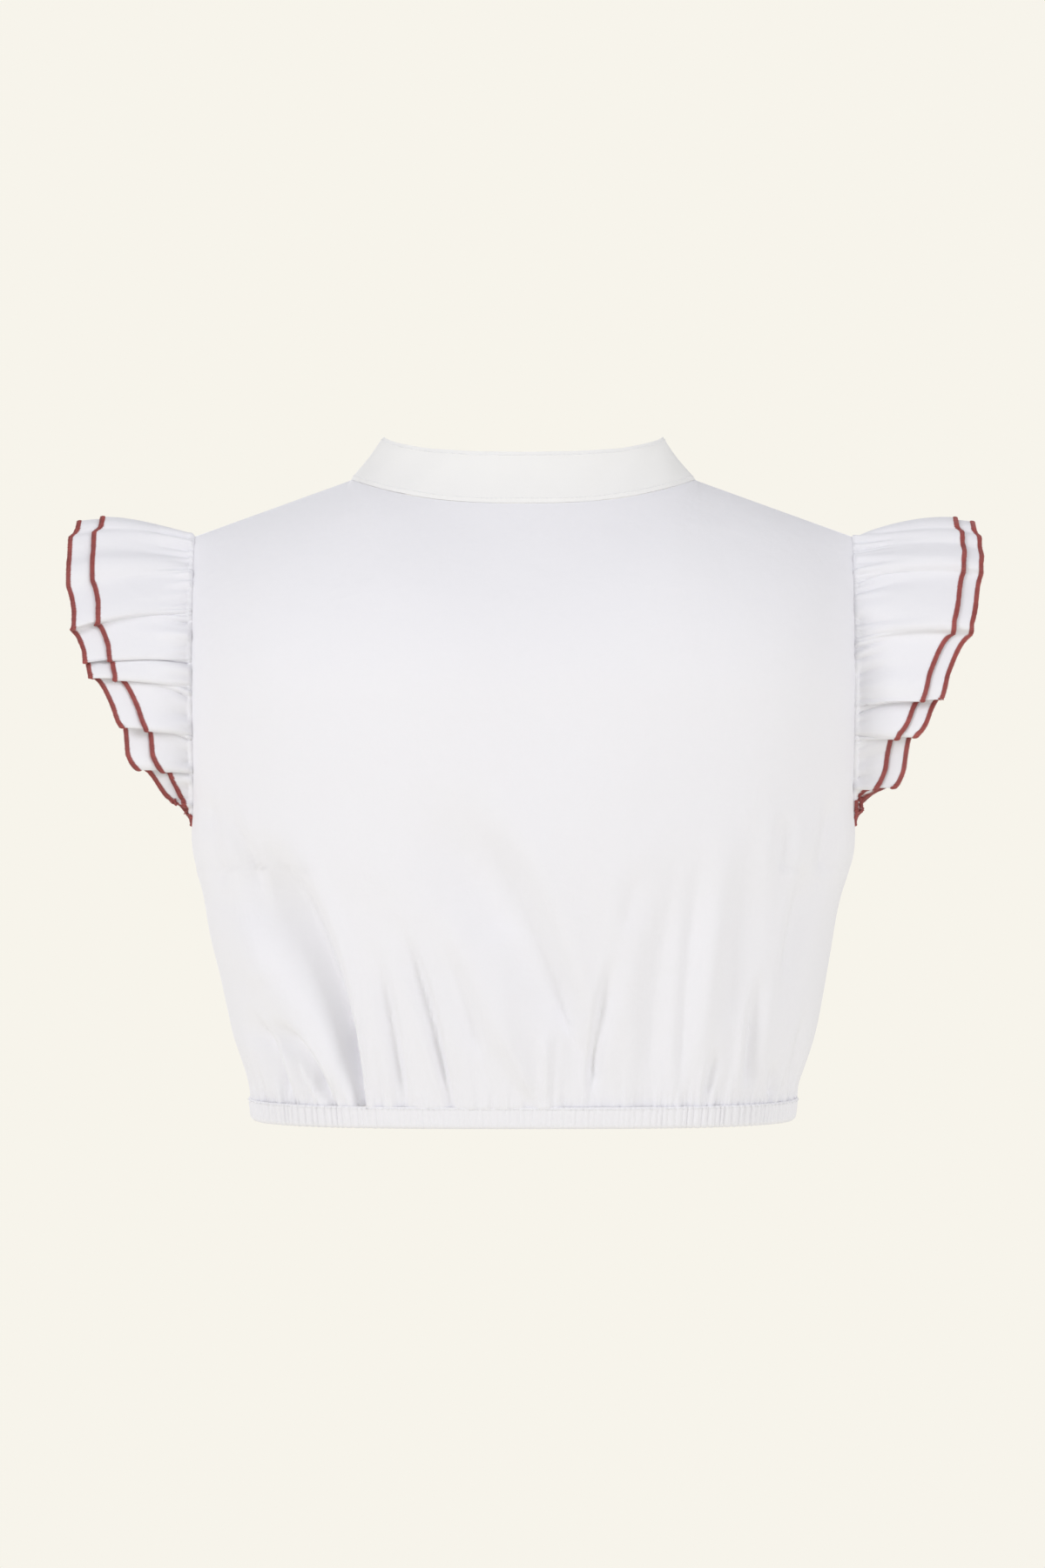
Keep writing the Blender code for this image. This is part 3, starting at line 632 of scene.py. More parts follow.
# A crease is a soft trough. Its columns: foot x and z, head x and z, bow to the left, width at foot and head,
# depth, how far up it keeps its depth, and its lean: above 0 the left wall is the longer one.
def creaseRelief(creases, points):
    relief = np.zeros(len(points))
    x, z = points[:, 0], points[:, 2]
    for footX, footZ, headX, headZ, bow, footWidth, headWidth, depth, keep, lean in creases:
        run = np.array([headX - footX, headZ - footZ])
        length = np.linalg.norm(run)
        along = ((x - footX) * run[0] + (z - footZ) * run[1]) / length**2
        nearest = np.clip(along, -0.02, 1.0)
        side = ((x - footX) * run[1] - (z - footZ) * run[0]) / length - bow * np.sin(math.pi * np.clip(along, 0, 1))
        width = footWidth + (headWidth - footWidth) * nearest
        u = side / width
        u = u / np.where(u > 0, 1.0 + lean, 1.0 - lean)
        beyond = np.maximum(np.abs(along - nearest) * length, 0.0)
        ending = 0.004 + 0.6 * (footWidth + headWidth)
        fade = (1.0 - smoothStep(nearest, keep, 1.0)) * np.exp(-((beyond / ending) ** 2))
        fade *= 0.35 + 0.65 * smoothStep(nearest, 0.0, 0.20)
        lip = 0.20 * np.exp(-(((np.abs(u) - 1.80) / 0.85) ** 2))
        relief += depth * fade * (np.exp(-(np.abs(u) ** 1.7)) - lip)
    return relief


# The main creases of the back, from the photograph, and similar ones on the hidden fronts
backCloth = {
    "creases": (
        (0.0882, -0.336, 0.156, -0.178, -0.0115, 0.0024, 0.021, -0.015, 0.62, 0.5),
        (0.065, -0.336, 0.085, -0.24, -0.0015, 0.0028, 0.0048, -0.0042, 0.5, 0.25),
        (0.04, -0.334, 0.0715, -0.226, -0.003, 0.0022, 0.0048, -0.0046, 0.55, 0.3),
        (0.0225, -0.314, 0.056, -0.222, -0.003, 0.005, 0.008, -0.0034, 0.45, 0.2),
        (-0.029, -0.3, 0.042, -0.16, -0.006, 0.01, 0.022, -0.0092, 0.55, 0.35),
        (0.006, -0.25, 0.056, -0.15, 0.0, 0.012, 0.022, -0.0036, 0.5, 0.2),
        (-0.07, -0.33, -0.095, -0.17, 0.005, 0.008, 0.018, -0.004, 0.5, -0.2),
        (-0.115, -0.3, -0.13, -0.17, 0.002, 0.008, 0.012, -0.0036, 0.5, -0.1),
        (-0.027, -0.297, -0.0175, -0.271, 0.0, 0.0024, 0.003, -0.0018, 0.45, 0.3),
        (0.13, -0.334, 0.156, -0.283, -0.003, 0.0034, 0.006, -0.0058, 0.6, 0.4),
        (0.1065, -0.334, 0.142, -0.288, -0.0055, 0.0024, 0.007, -0.0066, 0.65, 0.5),
        (0.116, -0.336, 0.129, -0.308, 0.001, 0.0018, 0.0026, -0.0018, 0.5, 0.2),
        (0.15, -0.222, 0.172, -0.16, -0.002, 0.005, 0.007, -0.004, 0.6, 0.3),
        (0.17, -0.218, 0.18, -0.16, 0.0, 0.006, 0.005, -0.0036, 0.7, 0.0),
        (-0.037, -0.332, -0.0535, -0.244, 0.003, 0.003, 0.005, -0.004, 0.5, -0.25),
        (-0.056, -0.24, -0.066, -0.196, 0.0, 0.006, 0.009, -0.0018, 0.4, -0.2),
        (-0.087, -0.33, -0.102, -0.178, 0.002, 0.0036, 0.007, -0.003, 0.55, -0.2),
        (-0.101, -0.332, -0.1085, -0.302, 0.0, 0.0026, 0.0034, -0.0026, 0.5, -0.2),
        (-0.1255, -0.33, -0.134, -0.256, 0.002, 0.0036, 0.004, -0.0046, 0.45, -0.2),
        (-0.139, -0.334, -0.14, -0.312, 0.0, 0.0024, 0.003, -0.0024, 0.5, 0.0),
        (-0.145, -0.27, -0.164, -0.19, 0.002, 0.0044, 0.006, -0.0036, 0.5, -0.3),
        (-0.144, -0.21, -0.147, -0.172, 0.0, 0.004, 0.005, -0.0026, 0.6, 0.0),
        (-0.151, -0.332, -0.16, -0.28, 0.001, 0.0026, 0.0036, -0.0026, 0.5, -0.2),
        (-0.168, -0.212, -0.176, -0.16, 0.0, 0.0054, 0.005, -0.004, 0.6, 0.0),
        (-0.008, -0.334, 0.025, -0.256, 0.002, 0.0042, 0.009, 0.0026, 0.4, 0.0),
        (0.142, -0.272, 0.16, -0.222, -0.002, 0.009, 0.008, 0.003, 0.5, 0.0),
        (-0.012, -0.334, -0.013, -0.285, 0.0, 0.0022, 0.0036, 0.0014, 0.5, 0.0),
    ),
    "tongues": tongueTable(3, 132, 0.215, (0.005, 0.034), (0.0010, 0.0025), (0.0003, 0.0015)),
    "columns": (256, 224),
}
frontCloth = {
    "creases": (
        (0.036, -0.335, 0.047, -0.268, 0.001, 0.0024, 0.0042, -0.0028, 0.5, 0.2),
        (0.048, -0.335, 0.062, -0.24, 0.003, 0.0026, 0.0056, -0.0036, 0.5, 0.3),
        (0.076, -0.335, 0.088, -0.226, -0.002, 0.003, 0.006, -0.004, 0.5, 0.2),
        (0.104, -0.335, 0.126, -0.242, -0.003, 0.0028, 0.006, -0.0042, 0.5, 0.3),
        (0.12, -0.334, 0.138, -0.288, 0.0, 0.0024, 0.0036, -0.003, 0.5, 0.2),
        (0.134, -0.334, 0.158, -0.256, -0.003, 0.003, 0.0056, -0.0036, 0.5, 0.3),
        (0.088, -0.3, 0.146, -0.176, -0.01, 0.004, 0.016, -0.006, 0.45, 0.4),
        (0.148, -0.235, 0.17, -0.176, 0.0, 0.004, 0.007, -0.0034, 0.6, 0.3),
        (-0.039, -0.335, -0.049, -0.258, 0.001, 0.0026, 0.0044, -0.0034, 0.5, -0.2),
        (-0.062, -0.335, -0.08, -0.222, 0.003, 0.0028, 0.0062, -0.0042, 0.5, -0.3),
        (-0.083, -0.335, -0.092, -0.28, 0.0, 0.0026, 0.004, -0.0028, 0.5, -0.2),
        (-0.098, -0.335, -0.119, -0.234, 0.003, 0.0028, 0.0058, -0.004, 0.5, -0.3),
        (-0.126, -0.334, -0.152, -0.248, 0.002, 0.003, 0.0056, -0.0038, 0.5, -0.2),
        (-0.142, -0.334, -0.156, -0.296, 0.0, 0.0022, 0.0036, -0.0024, 0.5, -0.2),
        (-0.09, -0.296, -0.143, -0.18, 0.009, 0.004, 0.015, -0.0056, 0.45, -0.4),
        (-0.15, -0.23, -0.17, -0.174, 0.0, 0.004, 0.007, -0.0032, 0.6, -0.3),
    ),
    "tongues": tongueTable(4, 124, 0.215, (0.005, 0.034), (0.0010, 0.0025), (0.0003, 0.0015)),
    "columns": (256, 224),
}


# The panels' rows, in bands: first level, last level, number of rows, and every how many columns one is kept.
# Near the hem the cloth is gathered, more so at the sides, and beside the button band it lies plain.
panel = {
    "bands": (
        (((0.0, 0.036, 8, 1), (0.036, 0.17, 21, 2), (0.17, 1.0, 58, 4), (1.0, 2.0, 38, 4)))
    ),
    "thick": 0.0006,
    "tuckIn": 0.0006,
    "tuckDown": 0.0012,
    "tuckThick": 0.0004,
    "gathered": 0.14,
    "sides": (0.05, 0.12),
    "plain": (0.016, 0.034),
    "rippleDepth": 0.0012,
    "rippleFade": 0.006,
    "slowDepth": 0.00055,
    "seamDip": 0.0004,
    "seamWidth": 0.0016,
}


def bodyRelief(side, points, spans, level):
    above = points[0, 2] - form["casingTop"] if level <= 1.0 else 1.0
    distance = spans * halfSection(side, form["casingTop"])[2][-1]
    cloth = backCloth if side > 0 else frontCloth
    relief = creaseRelief(cloth["creases"], points)
    if above < panel["gathered"]:
        atSides = 0.30 + 0.70 * smoothStep(np.abs(points[:, 0]), *panel["sides"])
        relief += tongueRelief(cloth["tongues"], distance, above) * (0.45 + 0.55 * atSides)
        relief += panel["rippleDepth"] * ripple(side, distance) * atSides * math.exp(-above / panel["rippleFade"])
    if side < 0:
        relief *= smoothStep(np.abs(points[:, 0]), *panel["plain"])
    x, z = points[:, 0], points[:, 2]
    slow = np.sin(x * 38 + z * 21 + side) + np.sin(x * 23 - z * 34 + 2.0 * side) + 0.7 * np.sin(x * 61 + z * 17)
    relief += panel["slowDepth"] * slow
    relief *= 1.0 - smoothStep(np.abs(spans), 0.88, 1.0) * smoothStep(level, 0.30, 0.577)
    relief *= 1.0 - smoothStep(level, 1.55, 1.95)
    edge = (1.0 - np.abs(spans)) * 0.24
    dip = panel["seamDip"] * np.exp(-((edge / panel["seamWidth"]) ** 2)) * (1.0 if level < 0.577 else 0.3)
    return relief - dip - panel["seamDip"] * smoothStep(level, 1.96, 2.0)


def bodyPanel(name, side, start, end, cloth):
    counts = tuple(c // 1 for c in cloth["columns"])
    outer, inner, uvs = [], [], []
    climbed, last = 0.0, None
    for low, high, number, stride in panel["bands"]:
        levels = np.linspace(low, high, number, endpoint=high == 2.0)
        for level in levels:
            spans = panelSpans(start, end, level, counts)
            row = bodyRow(side, spans, level)
            up = bodyRow(side, spans, min(level + 0.004, 2.0)) - bodyRow(side, spans, max(level - 0.004, 0.0))
            normals = unit(np.cross(np.gradient(row, axis=0, edge_order=2), up))
            normals *= -1.0 if normals[:, 1].sum() * side < 0 else 1.0
            row = row + normals * bodyRelief(side, row, spans, level)[:, None]
            climbed += 0.0 if last is None else float(np.linalg.norm(row[len(row) // 2] - last))
            last = row[len(row) // 2]
            across = spans * halfSection(side, heightAt(level))[2][-1]
            if level == 0.0:
                tucked = row - normals * panel["tuckIn"] - np.array([0, 0, panel["tuckDown"]])
                outer.append(tucked[::stride])
                inner.append((tucked - normals * panel["tuckThick"])[::stride])
                uvs.append(np.stack([across, np.full(len(across), -panel["tuckDown"])], axis=1)[::stride])
            outer.append(row[::stride])
            inner.append((row - normals * panel["thick"])[::stride])
            uvs.append(np.stack([across, np.full(len(across), climbed)], axis=1)[::stride])
    return shell(name, outer, inner, cotton, uvs)


print("body panels")
backPiece = bodyPanel("backCloth", 1, -1.0, 1.0, backCloth)
leftFrontPiece = bodyPanel("leftFrontCloth", -1, -0.010, 1.0, frontCloth)
rightFrontPiece = bodyPanel("rightFrontCloth", -1, -1.0, -0.0102, frontCloth)
dress(backPiece, "back_panel")
dress(leftFrontPiece, "front_panel_left")
dress(rightFrontPiece, "front_panel_right")


# The elastic's tunnel
casing = {"rows": 12, "bulge": 0.0011, "thick": 0.0022, "rib": 0.0017, "sag": 0.0007, "height": 0.012}


def casingPiece(name, side, start, end):
    counts = ((288, 252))
    outer, inner, uvs = [], [], []
    halfLength = halfSection(side, form["casingTop"])[2][-1]
    for share in np.linspace(0.0, 1.0, casing["rows"]):
        height = form["hem"] + share * (form["casingTop"] - form["hem"])
        spans = panelSpans(start, end, 0.0, counts)
        row = sectionRow(side, spans, height)
        along = np.gradient(row, axis=0, edge_order=2)
        normals = unit(np.stack([along[:, 1], -along[:, 0], np.zeros(len(row))], axis=1))
        normals *= -1.0 if normals[:, 1].sum() * side < 0 else 1.0
        atSides = 0.42 + 0.58 * smoothStep(np.abs(row[:, 0]), *panel["sides"])
        plain = smoothStep(np.abs(row[:, 0]), *panel["plain"]) if side < 0 else 1.0
        edge = 1.0 - (2 * share - 1) ** 6 * (1.0 if share < 0.5 else 0.45)
        ribs = casing["rib"] * ripple(side, spans * halfLength) * atSides * (0.55 + 0.45 * edge)
        relief = (ribs + casing["bulge"] * math.sqrt(max(edge, 0.0))) * plain
        sag = casing["sag"] * ripple(side, spans * halfLength + 0.0011) * atSides * plain * (1 - share) ** 3
        row = row + normals * relief[:, None]
        row[:, 2] -= sag + 0.0002
        depth = casing["thick"] * (0.35 + 0.65 * math.sqrt(max(edge, 0.0)))
        outer.append(row)
        inner.append(row - normals * depth)
        uvs.append(np.stack([spans * halfLength, np.full(len(spans), share * casing["height"])], axis=1))
    piece = shell(name, outer, inner, cotton, uvs, 80)
    line = outer[-2] + (outer[-2] - inner[-2]) * 0.05
    stitches = stitchRow(name + "Stitches", line, outer[-2] - inner[-2], 0.0026, 5)
    return piece, stitches


print("hem casing")
for name, side, start, end, node in (
    ("backCasing", 1, -1.0, 1.0, "hem_casing_back"),
    ("leftCasing", -1, -0.010, 1.0, "hem_casing_left"),
    ("rightCasing", -1, -1.0, -0.0102, "hem_casing_right"),
):
    piece, stitches = casingPiece(name, side, start, end)
    dress(piece, node)
    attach(stitches, "root")

# The cap sleeves. A fold is a roll of cloth that the next face comes out from under:
# its height on the armhole seam, its height at the edge, the longer layer's reach before and after it, its depth
frills = {
    "left": {
        "back": (
            (-0.0205, -0.0225, 0.071, 0.071, 0.0005, 0.0),
            (-0.032, -0.04, 0.071, 0.0708, 0.0012, 0.1),
            (-0.0549, -0.0715, 0.0668, 0.068, 0.0026, 0.8),
            (-0.0863, -0.0905, 0.061, 0.0602, 0.0019, 0.65),
            (-0.1, -0.0965, 0.0584, 0.0576, 0.0024, 0.85),
            (-0.1286, -0.1222, 0.0446, 0.0392, 0.004, 1.0),
            (-0.15, -0.146, 0.0372, 0.0302, 0.0038, 1.0),
            (-0.166, -0.169, 0.019, 0.0104, 0.0034, 1.0),
        ),
        "front": (
            (-0.035, -0.041, 0.0715, 0.0705, 0.0026, 0.8),
            (-0.064, -0.07, 0.0655, 0.064, 0.0038, 1.0),
            (-0.093, -0.095, 0.0575, 0.055, 0.0034, 0.9),
            (-0.119, -0.117, 0.0485, 0.0455, 0.004, 1.0),
            (-0.143, -0.139, 0.0375, 0.033, 0.0036, 1.0),
            (-0.162, -0.162, 0.02, 0.015, 0.0026, 0.9),
        ),
        "seed": 21,
        "shorter": 0.0136,
        "least": 0.56,
        "atShoulder": 0.0672,
    },
    "right": {
        "back": (
            (-0.0205, -0.0215, 0.0728, 0.0728, 0.0004, 0.0),
            (-0.0353, -0.036, 0.0736, 0.0729, 0.002, 0.7),
            (-0.069, -0.069, 0.069, 0.0662, 0.0036, 0.95),
            (-0.1123, -0.109, 0.0524, 0.0484, 0.0044, 1.0),
            (-0.13, -0.1285, 0.0412, 0.033, 0.0038, 1.0),
            (-0.159, -0.158, 0.029, 0.0214, 0.0036, 1.0),
            (-0.1705, -0.1735, 0.0052, 0.006, 0.0012, 0.5),
        ),
        "front": (
            (-0.033, -0.039, 0.072, 0.071, 0.0026, 0.8),
            (-0.06, -0.066, 0.0665, 0.065, 0.0038, 1.0),
            (-0.088, -0.092, 0.059, 0.057, 0.0034, 0.9),
            (-0.114, -0.114, 0.05, 0.047, 0.004, 1.0),
            (-0.139, -0.136, 0.04, 0.035, 0.0038, 1.0),
            (-0.159, -0.159, 0.024, 0.019, 0.0026, 0.9),
        ),
        "seed": 22,
        "shorter": 0.0100,
        "least": 0.40,
        "atShoulder": 0.0700,
    },
    "end": -0.1820,
    "puff": 0.0115,
    "puffWithin": 0.064,
    "droop": 0.0045,
    "waveWithin": 0.014,
    "column": 0.00052,
    "rows": 28,
    "fineRows": 15,
    "spacing": 0.0013,
    "thick": 0.0005,
}


def armholeSeam(sign):
    levels = np.concatenate([np.linspace(0.577, 1.0, 120), np.linspace(1.0, 2.0, 160)[1:]])
    span = np.array([float(sign)])
    front = [bodyRow(-1, span, level)[0] for level in levels]
    back = [bodyRow(1, span, level)[0] for level in levels]
    return np.array(front + back[::-1][1:]), np.array([False] * len(front) + [True] * (len(back) - 1))


def frillSheet(sign, folds):
    seam, behind = armholeSeam(sign)
    kept = seam[:, 2] >= frills["end"]
    seam, behind = seam[kept], behind[kept]
    distance = np.concatenate([[0.0], np.cumsum(np.linalg.norm(np.diff(seam, axis=0), axis=1))])
    shoulder = distance[np.argmax(seam[:, 2])]
    rows = []
    for half, mask, order in (("front", ~behind, 1), ("back", behind, -1)):
        for seamZ, edgeZ, before, after, depth, rolled in folds[half][:: -1 if half == "front" else 1]:
            at = np.interp(order * seamZ, order * seam[mask, 2], distance[mask])
            rows.append((at, abs(edgeZ) - abs(seamZ), before, after, depth, rolled))
        if half == "front":
            rows.append((shoulder, 0.0, folds["atShoulder"], folds["atShoulder"], 0.0010, 0.0))
    table = np.array([(0.0, 0.0, 0.002, 0.002, 0.0004, 0.0), *rows, (distance[-1], 0.0, 0.002, 0.002, 0.0004, 0.0)])
    stops, drops, before, after, depths, rolls = table.T
    frontSide = stops < shoulder - 1e-6
    before, after = np.where(frontSide, after, before), np.where(frontSide, before, after)
    number = np.arange(len(stops))
    steps = [2 * max(3, round(gap / frills["column"] / 2)) for gap in np.diff(stops)]
    phase = np.concatenate([[0.0], *(i + np.linspace(0.0, 1.0, n + 1)[1:] for i, n in enumerate(steps))])
    s = np.interp(phase, number, stops)
    # The reach changes from one face to the next while the cloth is hidden inside the roll
    knots, reaches = [], []
    for i in range(len(stops)):
        knots += [i - 0.20, i + 0.02, i + 0.38] if stops[i] > shoulder + 1e-6 else [i - 0.38, i - 0.02, i + 0.20]
        middle = (before[i] + after[i]) / 2 - 0.4 * rolls[i] * depths[i]
        reaches += [before[i], middle, after[i]]
    longest = np.interp(phase, knots, reaches)
    length = stops[-1]
    longest *= 1.0 - 0.25 * smoothStep(-np.minimum(s, length - s), -0.010, 0.0)
    base = np.stack([np.interp(s, distance, seam[:, i]) for i in range(3)], axis=1)
    along = np.stack([np.interp(s, distance, np.gradient(seam[:, i], distance)) for i in range(3)], axis=1)
    along[:, 0] = 0.0
    along = unit(along)
    outwards = np.stack([np.zeros(len(s)), -along[:, 2], along[:, 1]], axis=1)
    outwards *= -1.0 if outwards[np.argmax(base[:, 2]), 2] < 0 else 1.0
    down = along * np.where(s < shoulder, -1.0, 1.0)[:, None]
    periods = np.interp(phase, number[:-1] + 0.5, np.diff(stops))
    depth = np.interp(phase, number, depths)
    roll = np.interp(phase, number, rolls)
    drop = np.interp(phase, number, drops)
    lean = 0.245 * np.minimum(periods, 0.026) * roll
    shorter = np.maximum(longest - folds["shorter"], folds["least"] * longest)
    taper = smoothStep(np.minimum(s, length - s), 0.0, 0.050)
    tongues = tongueTable(folds["seed"], 112, length / 2, (0.008, 0.040), (0.0008, 0.0018), (0.0006, 0.0019))
    outsTop = [share * shorter for share in np.linspace(0.0, 1.0, frills["rows"]) ** 1.6]
    outsUnder = outsTop + [shorter + (longest - shorter) * share for share in np.linspace(0.0, 1.0, 6)[1:]]
    grid = []
    for out in outsUnder:
        puff = frills["puff"] * np.sin(np.minimum(out / frills["puffWithin"], 1.0) * math.pi / 2) ** 1.15 * taper
        grown = 1.0 - np.exp(-((out / frills["waveWithin"]) ** 1.3))
        wave = np.cos(2 * math.pi * phase)
        lift = puff + depth * wave * grown
        slide = lean * (wave - 1.0) * (0.5 + 0.5 * grown) + drop * np.clip(out / 0.055, 0.0, 1.2)
        at, height, width, deep, drift = tongues.T
        pleat = (s[:, None] - length / 2 - at - drift * out[:, None]) / (width * (1 + out[:, None] / 0.026))
        fade = np.exp(-((out[:, None] / height) ** 1.5))
        pleats = (deep * np.exp(-(pleat**2)) * fade).sum(axis=1) * smoothStep(out, 0.0004, 0.003)
        pleats *= 1.0 + 0.7 * np.abs(outwards[:, 1])  # deeper where the sleeve hangs than on the shoulder
        header = 0.0006 * np.exp(-(((out - 0.0016) / 0.0012) ** 2)) - 0.0020 * np.exp(-((out / 0.0006) ** 2))
        row = base + outwards * (lift + pleats + header)[:, None] + down * slide[:, None]
        row[:, 2] -= frills["droop"] * (out / 0.0745) ** 3
        row[:, 0] += sign * (out - 0.0007)
        grid.append(row)
    grid = np.array(grid)
    normals = unit(np.cross(np.gradient(grid, axis=1), np.gradient(grid, axis=0)))
    normals *= -1.0 if (normals * outwards[None]).sum() < 0 else 1.0
    normals[0, :, 0] = 0.0
    cut = np.stack([np.broadcast_to(s * 1.35, grid.shape[:2]), np.array(outsUnder)], axis=2)
    return grid, unit(normals), cut, len(outsTop)


# The overlocked edge: a flat red cord with thread wraps over it
trimming = {
    "inset": 0.00100,
    "halfWidth": 0.00130,
    "halfThick": 0.00048,
    "sides": 8,
    "pitch": 0.00098,
}


def edging(name, grid, normals, seed):
    edge, facing = grid[-1], normals[-1]
    inward = unit(grid[-2] - grid[-1])
    along = unit(np.gradient(edge, axis=0))
    inward = unit(inward - along * (inward * along).sum(axis=1, keepdims=True))
    facing = unit(np.cross(along, inward))
    centre = edge + inward * trimming["inset"]
    sides = trimming["sides"]
    points, faces = [], []
    for k in range(sides):
        a = 2 * math.pi * k / sides
        across, up = trimming["halfWidth"] * math.cos(a), trimming["halfThick"] * math.sin(a)
        points.append(centre + inward * across + facing * up)
    points = np.stack(points, axis=1).reshape(-1, 3)
    n = len(edge)
    for i in range(n - 1):
        for k in range(sides):
            m = (k + 1) % sides
            faces.append((i * sides + k, i * sides + m, (i + 1) * sides + m, (i + 1) * sides + k))
    faces += [tuple(range(sides))[::-1], tuple((n - 1) * sides + k for k in range(sides))]
    band = plainMesh(name + "Band", points, faces, redThread)
    at, ways, ups = resample(centre, along, facing, pitch=trimming["pitch"])
    wraps = repeatAlong(name, at, unit(ways), unit(ups), wrapPiece, 0.07, seed, redThread)
    return joinInto(name, [wraps, band])


frillPieces = []
print("frills")
for side, sign in (("left", 1), ("right", -1)):
    grid, normals, cut, topRows = frillSheet(sign, frills[side])
    middle, half = frills["spacing"] / 2, frills["thick"] / 2
    for layer, rows, offset in (("Top", slice(0, topRows), middle), ("Under", slice(0, None), -middle)):
        columns = slice(2, -2) if layer == "Top" else slice(0, None)
        sheet, out, flat = grid[rows, columns], normals[rows, columns], cut[rows, columns]
        name = side + "Frill" + layer
        wide = sheet.shape[1] - (sheet.shape[1] + 1) % 2
        fineRows = frills["fineRows"] if layer == "Top" else 2
        strides = [slice(0, wide, 1 if i < fineRows else 2) for i in range(len(sheet))]
        faces = [[(sheet + out * (offset + way))[i, k] for i, k in enumerate(strides)] for way in (half, -half)]
        piece = shell(name, *faces, cotton, [flat[i, k] for i, k in enumerate(strides)], 75)
        ends = slice(0, wide, 2)
        trim = edging(name + "Edging", (sheet + out * offset)[-2:, ends], out[-2:, ends], 31 + len(frillPieces))
        dress(piece, f"frill_{side}_{layer.lower()}")
        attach(trim, "root")
        frillPieces.append((piece, trim))


# The stand collar
collarForm = {"height": 0.031, "frontHeight": 0.024, "thick": 0.0016, "columns": 300, "rows": 14}


def collarPiece():
    neckSpan = form["neckSpan"]
    opening = neckSpan * math.asin(0.0012 / form["neckPoint"][0]) / (math.pi / 2)
    n = collarForm["columns"]
    front = np.linspace(opening, neckSpan, n // 3)
    edges = ((-1, -front), (1, np.linspace(-neckSpan, neckSpan, n // 2)[1:-1]), (-1, front[::-1]))
    loop = np.concatenate([bodyRow(side, spans, 2.0) for side, spans in edges])
    distance = np.concatenate([[0.0], np.cumsum(np.linalg.norm(np.diff(loop, axis=0), axis=1))])
    even = np.linspace(0.0, distance[-1], n)
    loop = np.stack([np.interp(even, distance, loop[:, i]) for i in range(3)], axis=1)
    distance = even
    centreY = form["neckPoint"][1]
    behind = loop[:, 1] > centreY
    reach = np.where(behind, form["backNeck"]["reach"], form["frontNeck"]["reach"])
    turn = np.arctan2(np.abs(loop[:, 0]) / form["neckPoint"][0], np.abs(loop[:, 1] - centreY) / reach)
    beside = np.sin(turn) ** 2
    lean = np.where(behind, 0.31, 0.10) * (1.0 - beside) + 0.60 * beside
    along = unit(np.gradient(loop, axis=0))
    inwards = unit(np.stack([along[:, 1], -along[:, 0], np.zeros(n)], axis=1))
    inwards *= -1.0 if (inwards[:, 0] * loop[:, 0]).sum() > 0 else 1.0
    rise = unit(inwards * lean[:, None] + np.array([0, 0, 1.0]) * np.sqrt(1 - lean**2)[:, None])
    outwards = unit(np.cross(along, rise))
    outwards *= -1.0 if (outwards * inwards).sum() > 0 else 1.0
    fromEnd = np.minimum(distance, distance[-1] - distance)
    lower, higher = collarForm["frontHeight"], collarForm["height"]
    full = lower + (higher - lower) * smoothStep(fromEnd, 0.02, 0.12)
    corner = np.sqrt(1.0 - (1.0 - np.clip(fromEnd / 0.012, 0.0, 1.0)) ** 2)
    height = full * (0.45 + 0.55 * corner)
    outer, inner, uvs = [], [], []
    for share in np.linspace(0.0, 1.0, collarForm["rows"]):
        up = 0.0002 + height * share
        bow = 0.0012 * math.sin(math.pi * share)
        wave = 0.00025 * np.sin(distance * 95 + 3 * share) + 0.0002 * np.sin(distance * 210 + 5 * share)
        edge = 1.0 - (2 * share - 1) ** 8
        thick = collarForm["thick"] * (0.3 + 0.7 * math.sqrt(max(edge, 0.0)))
        middle = loop + rise * up[:, None] - outwards * (bow + 0.0008 + wave)[:, None]
        outer.append(middle + outwards * thick / 2)
        inner.append(middle - outwards * thick / 2)
        uvs.append(np.stack([distance, np.full(n, 0.031 * share)], axis=1))
    piece = shell("collarBand", outer, inner, collarCotton, uvs, 80)
    lines = []
    for share, seed in ((0.085, 6), (0.93, 7)):
        line = between(outer, share)
        lines.append(stitchRow("collarStitches" + str(seed), line[2:-2], outwards[2:-2], 0.0028, seed))
    return piece, joinInto("collarStitches", lines)


print("collar")
collarBand, collarStitches = collarPiece()
dress(collarBand, "collar")
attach(collarStitches, "root")

# The button band, with its edge stitching and buttonholes
band = {
    "half": 0.013,
    "columns": 21,
    "lift": 0.0006,
    "inside": 0.0001,
    "round": 0.0006,
    "buttons": (-0.092, -0.150, -0.208, -0.266, -0.324),
}


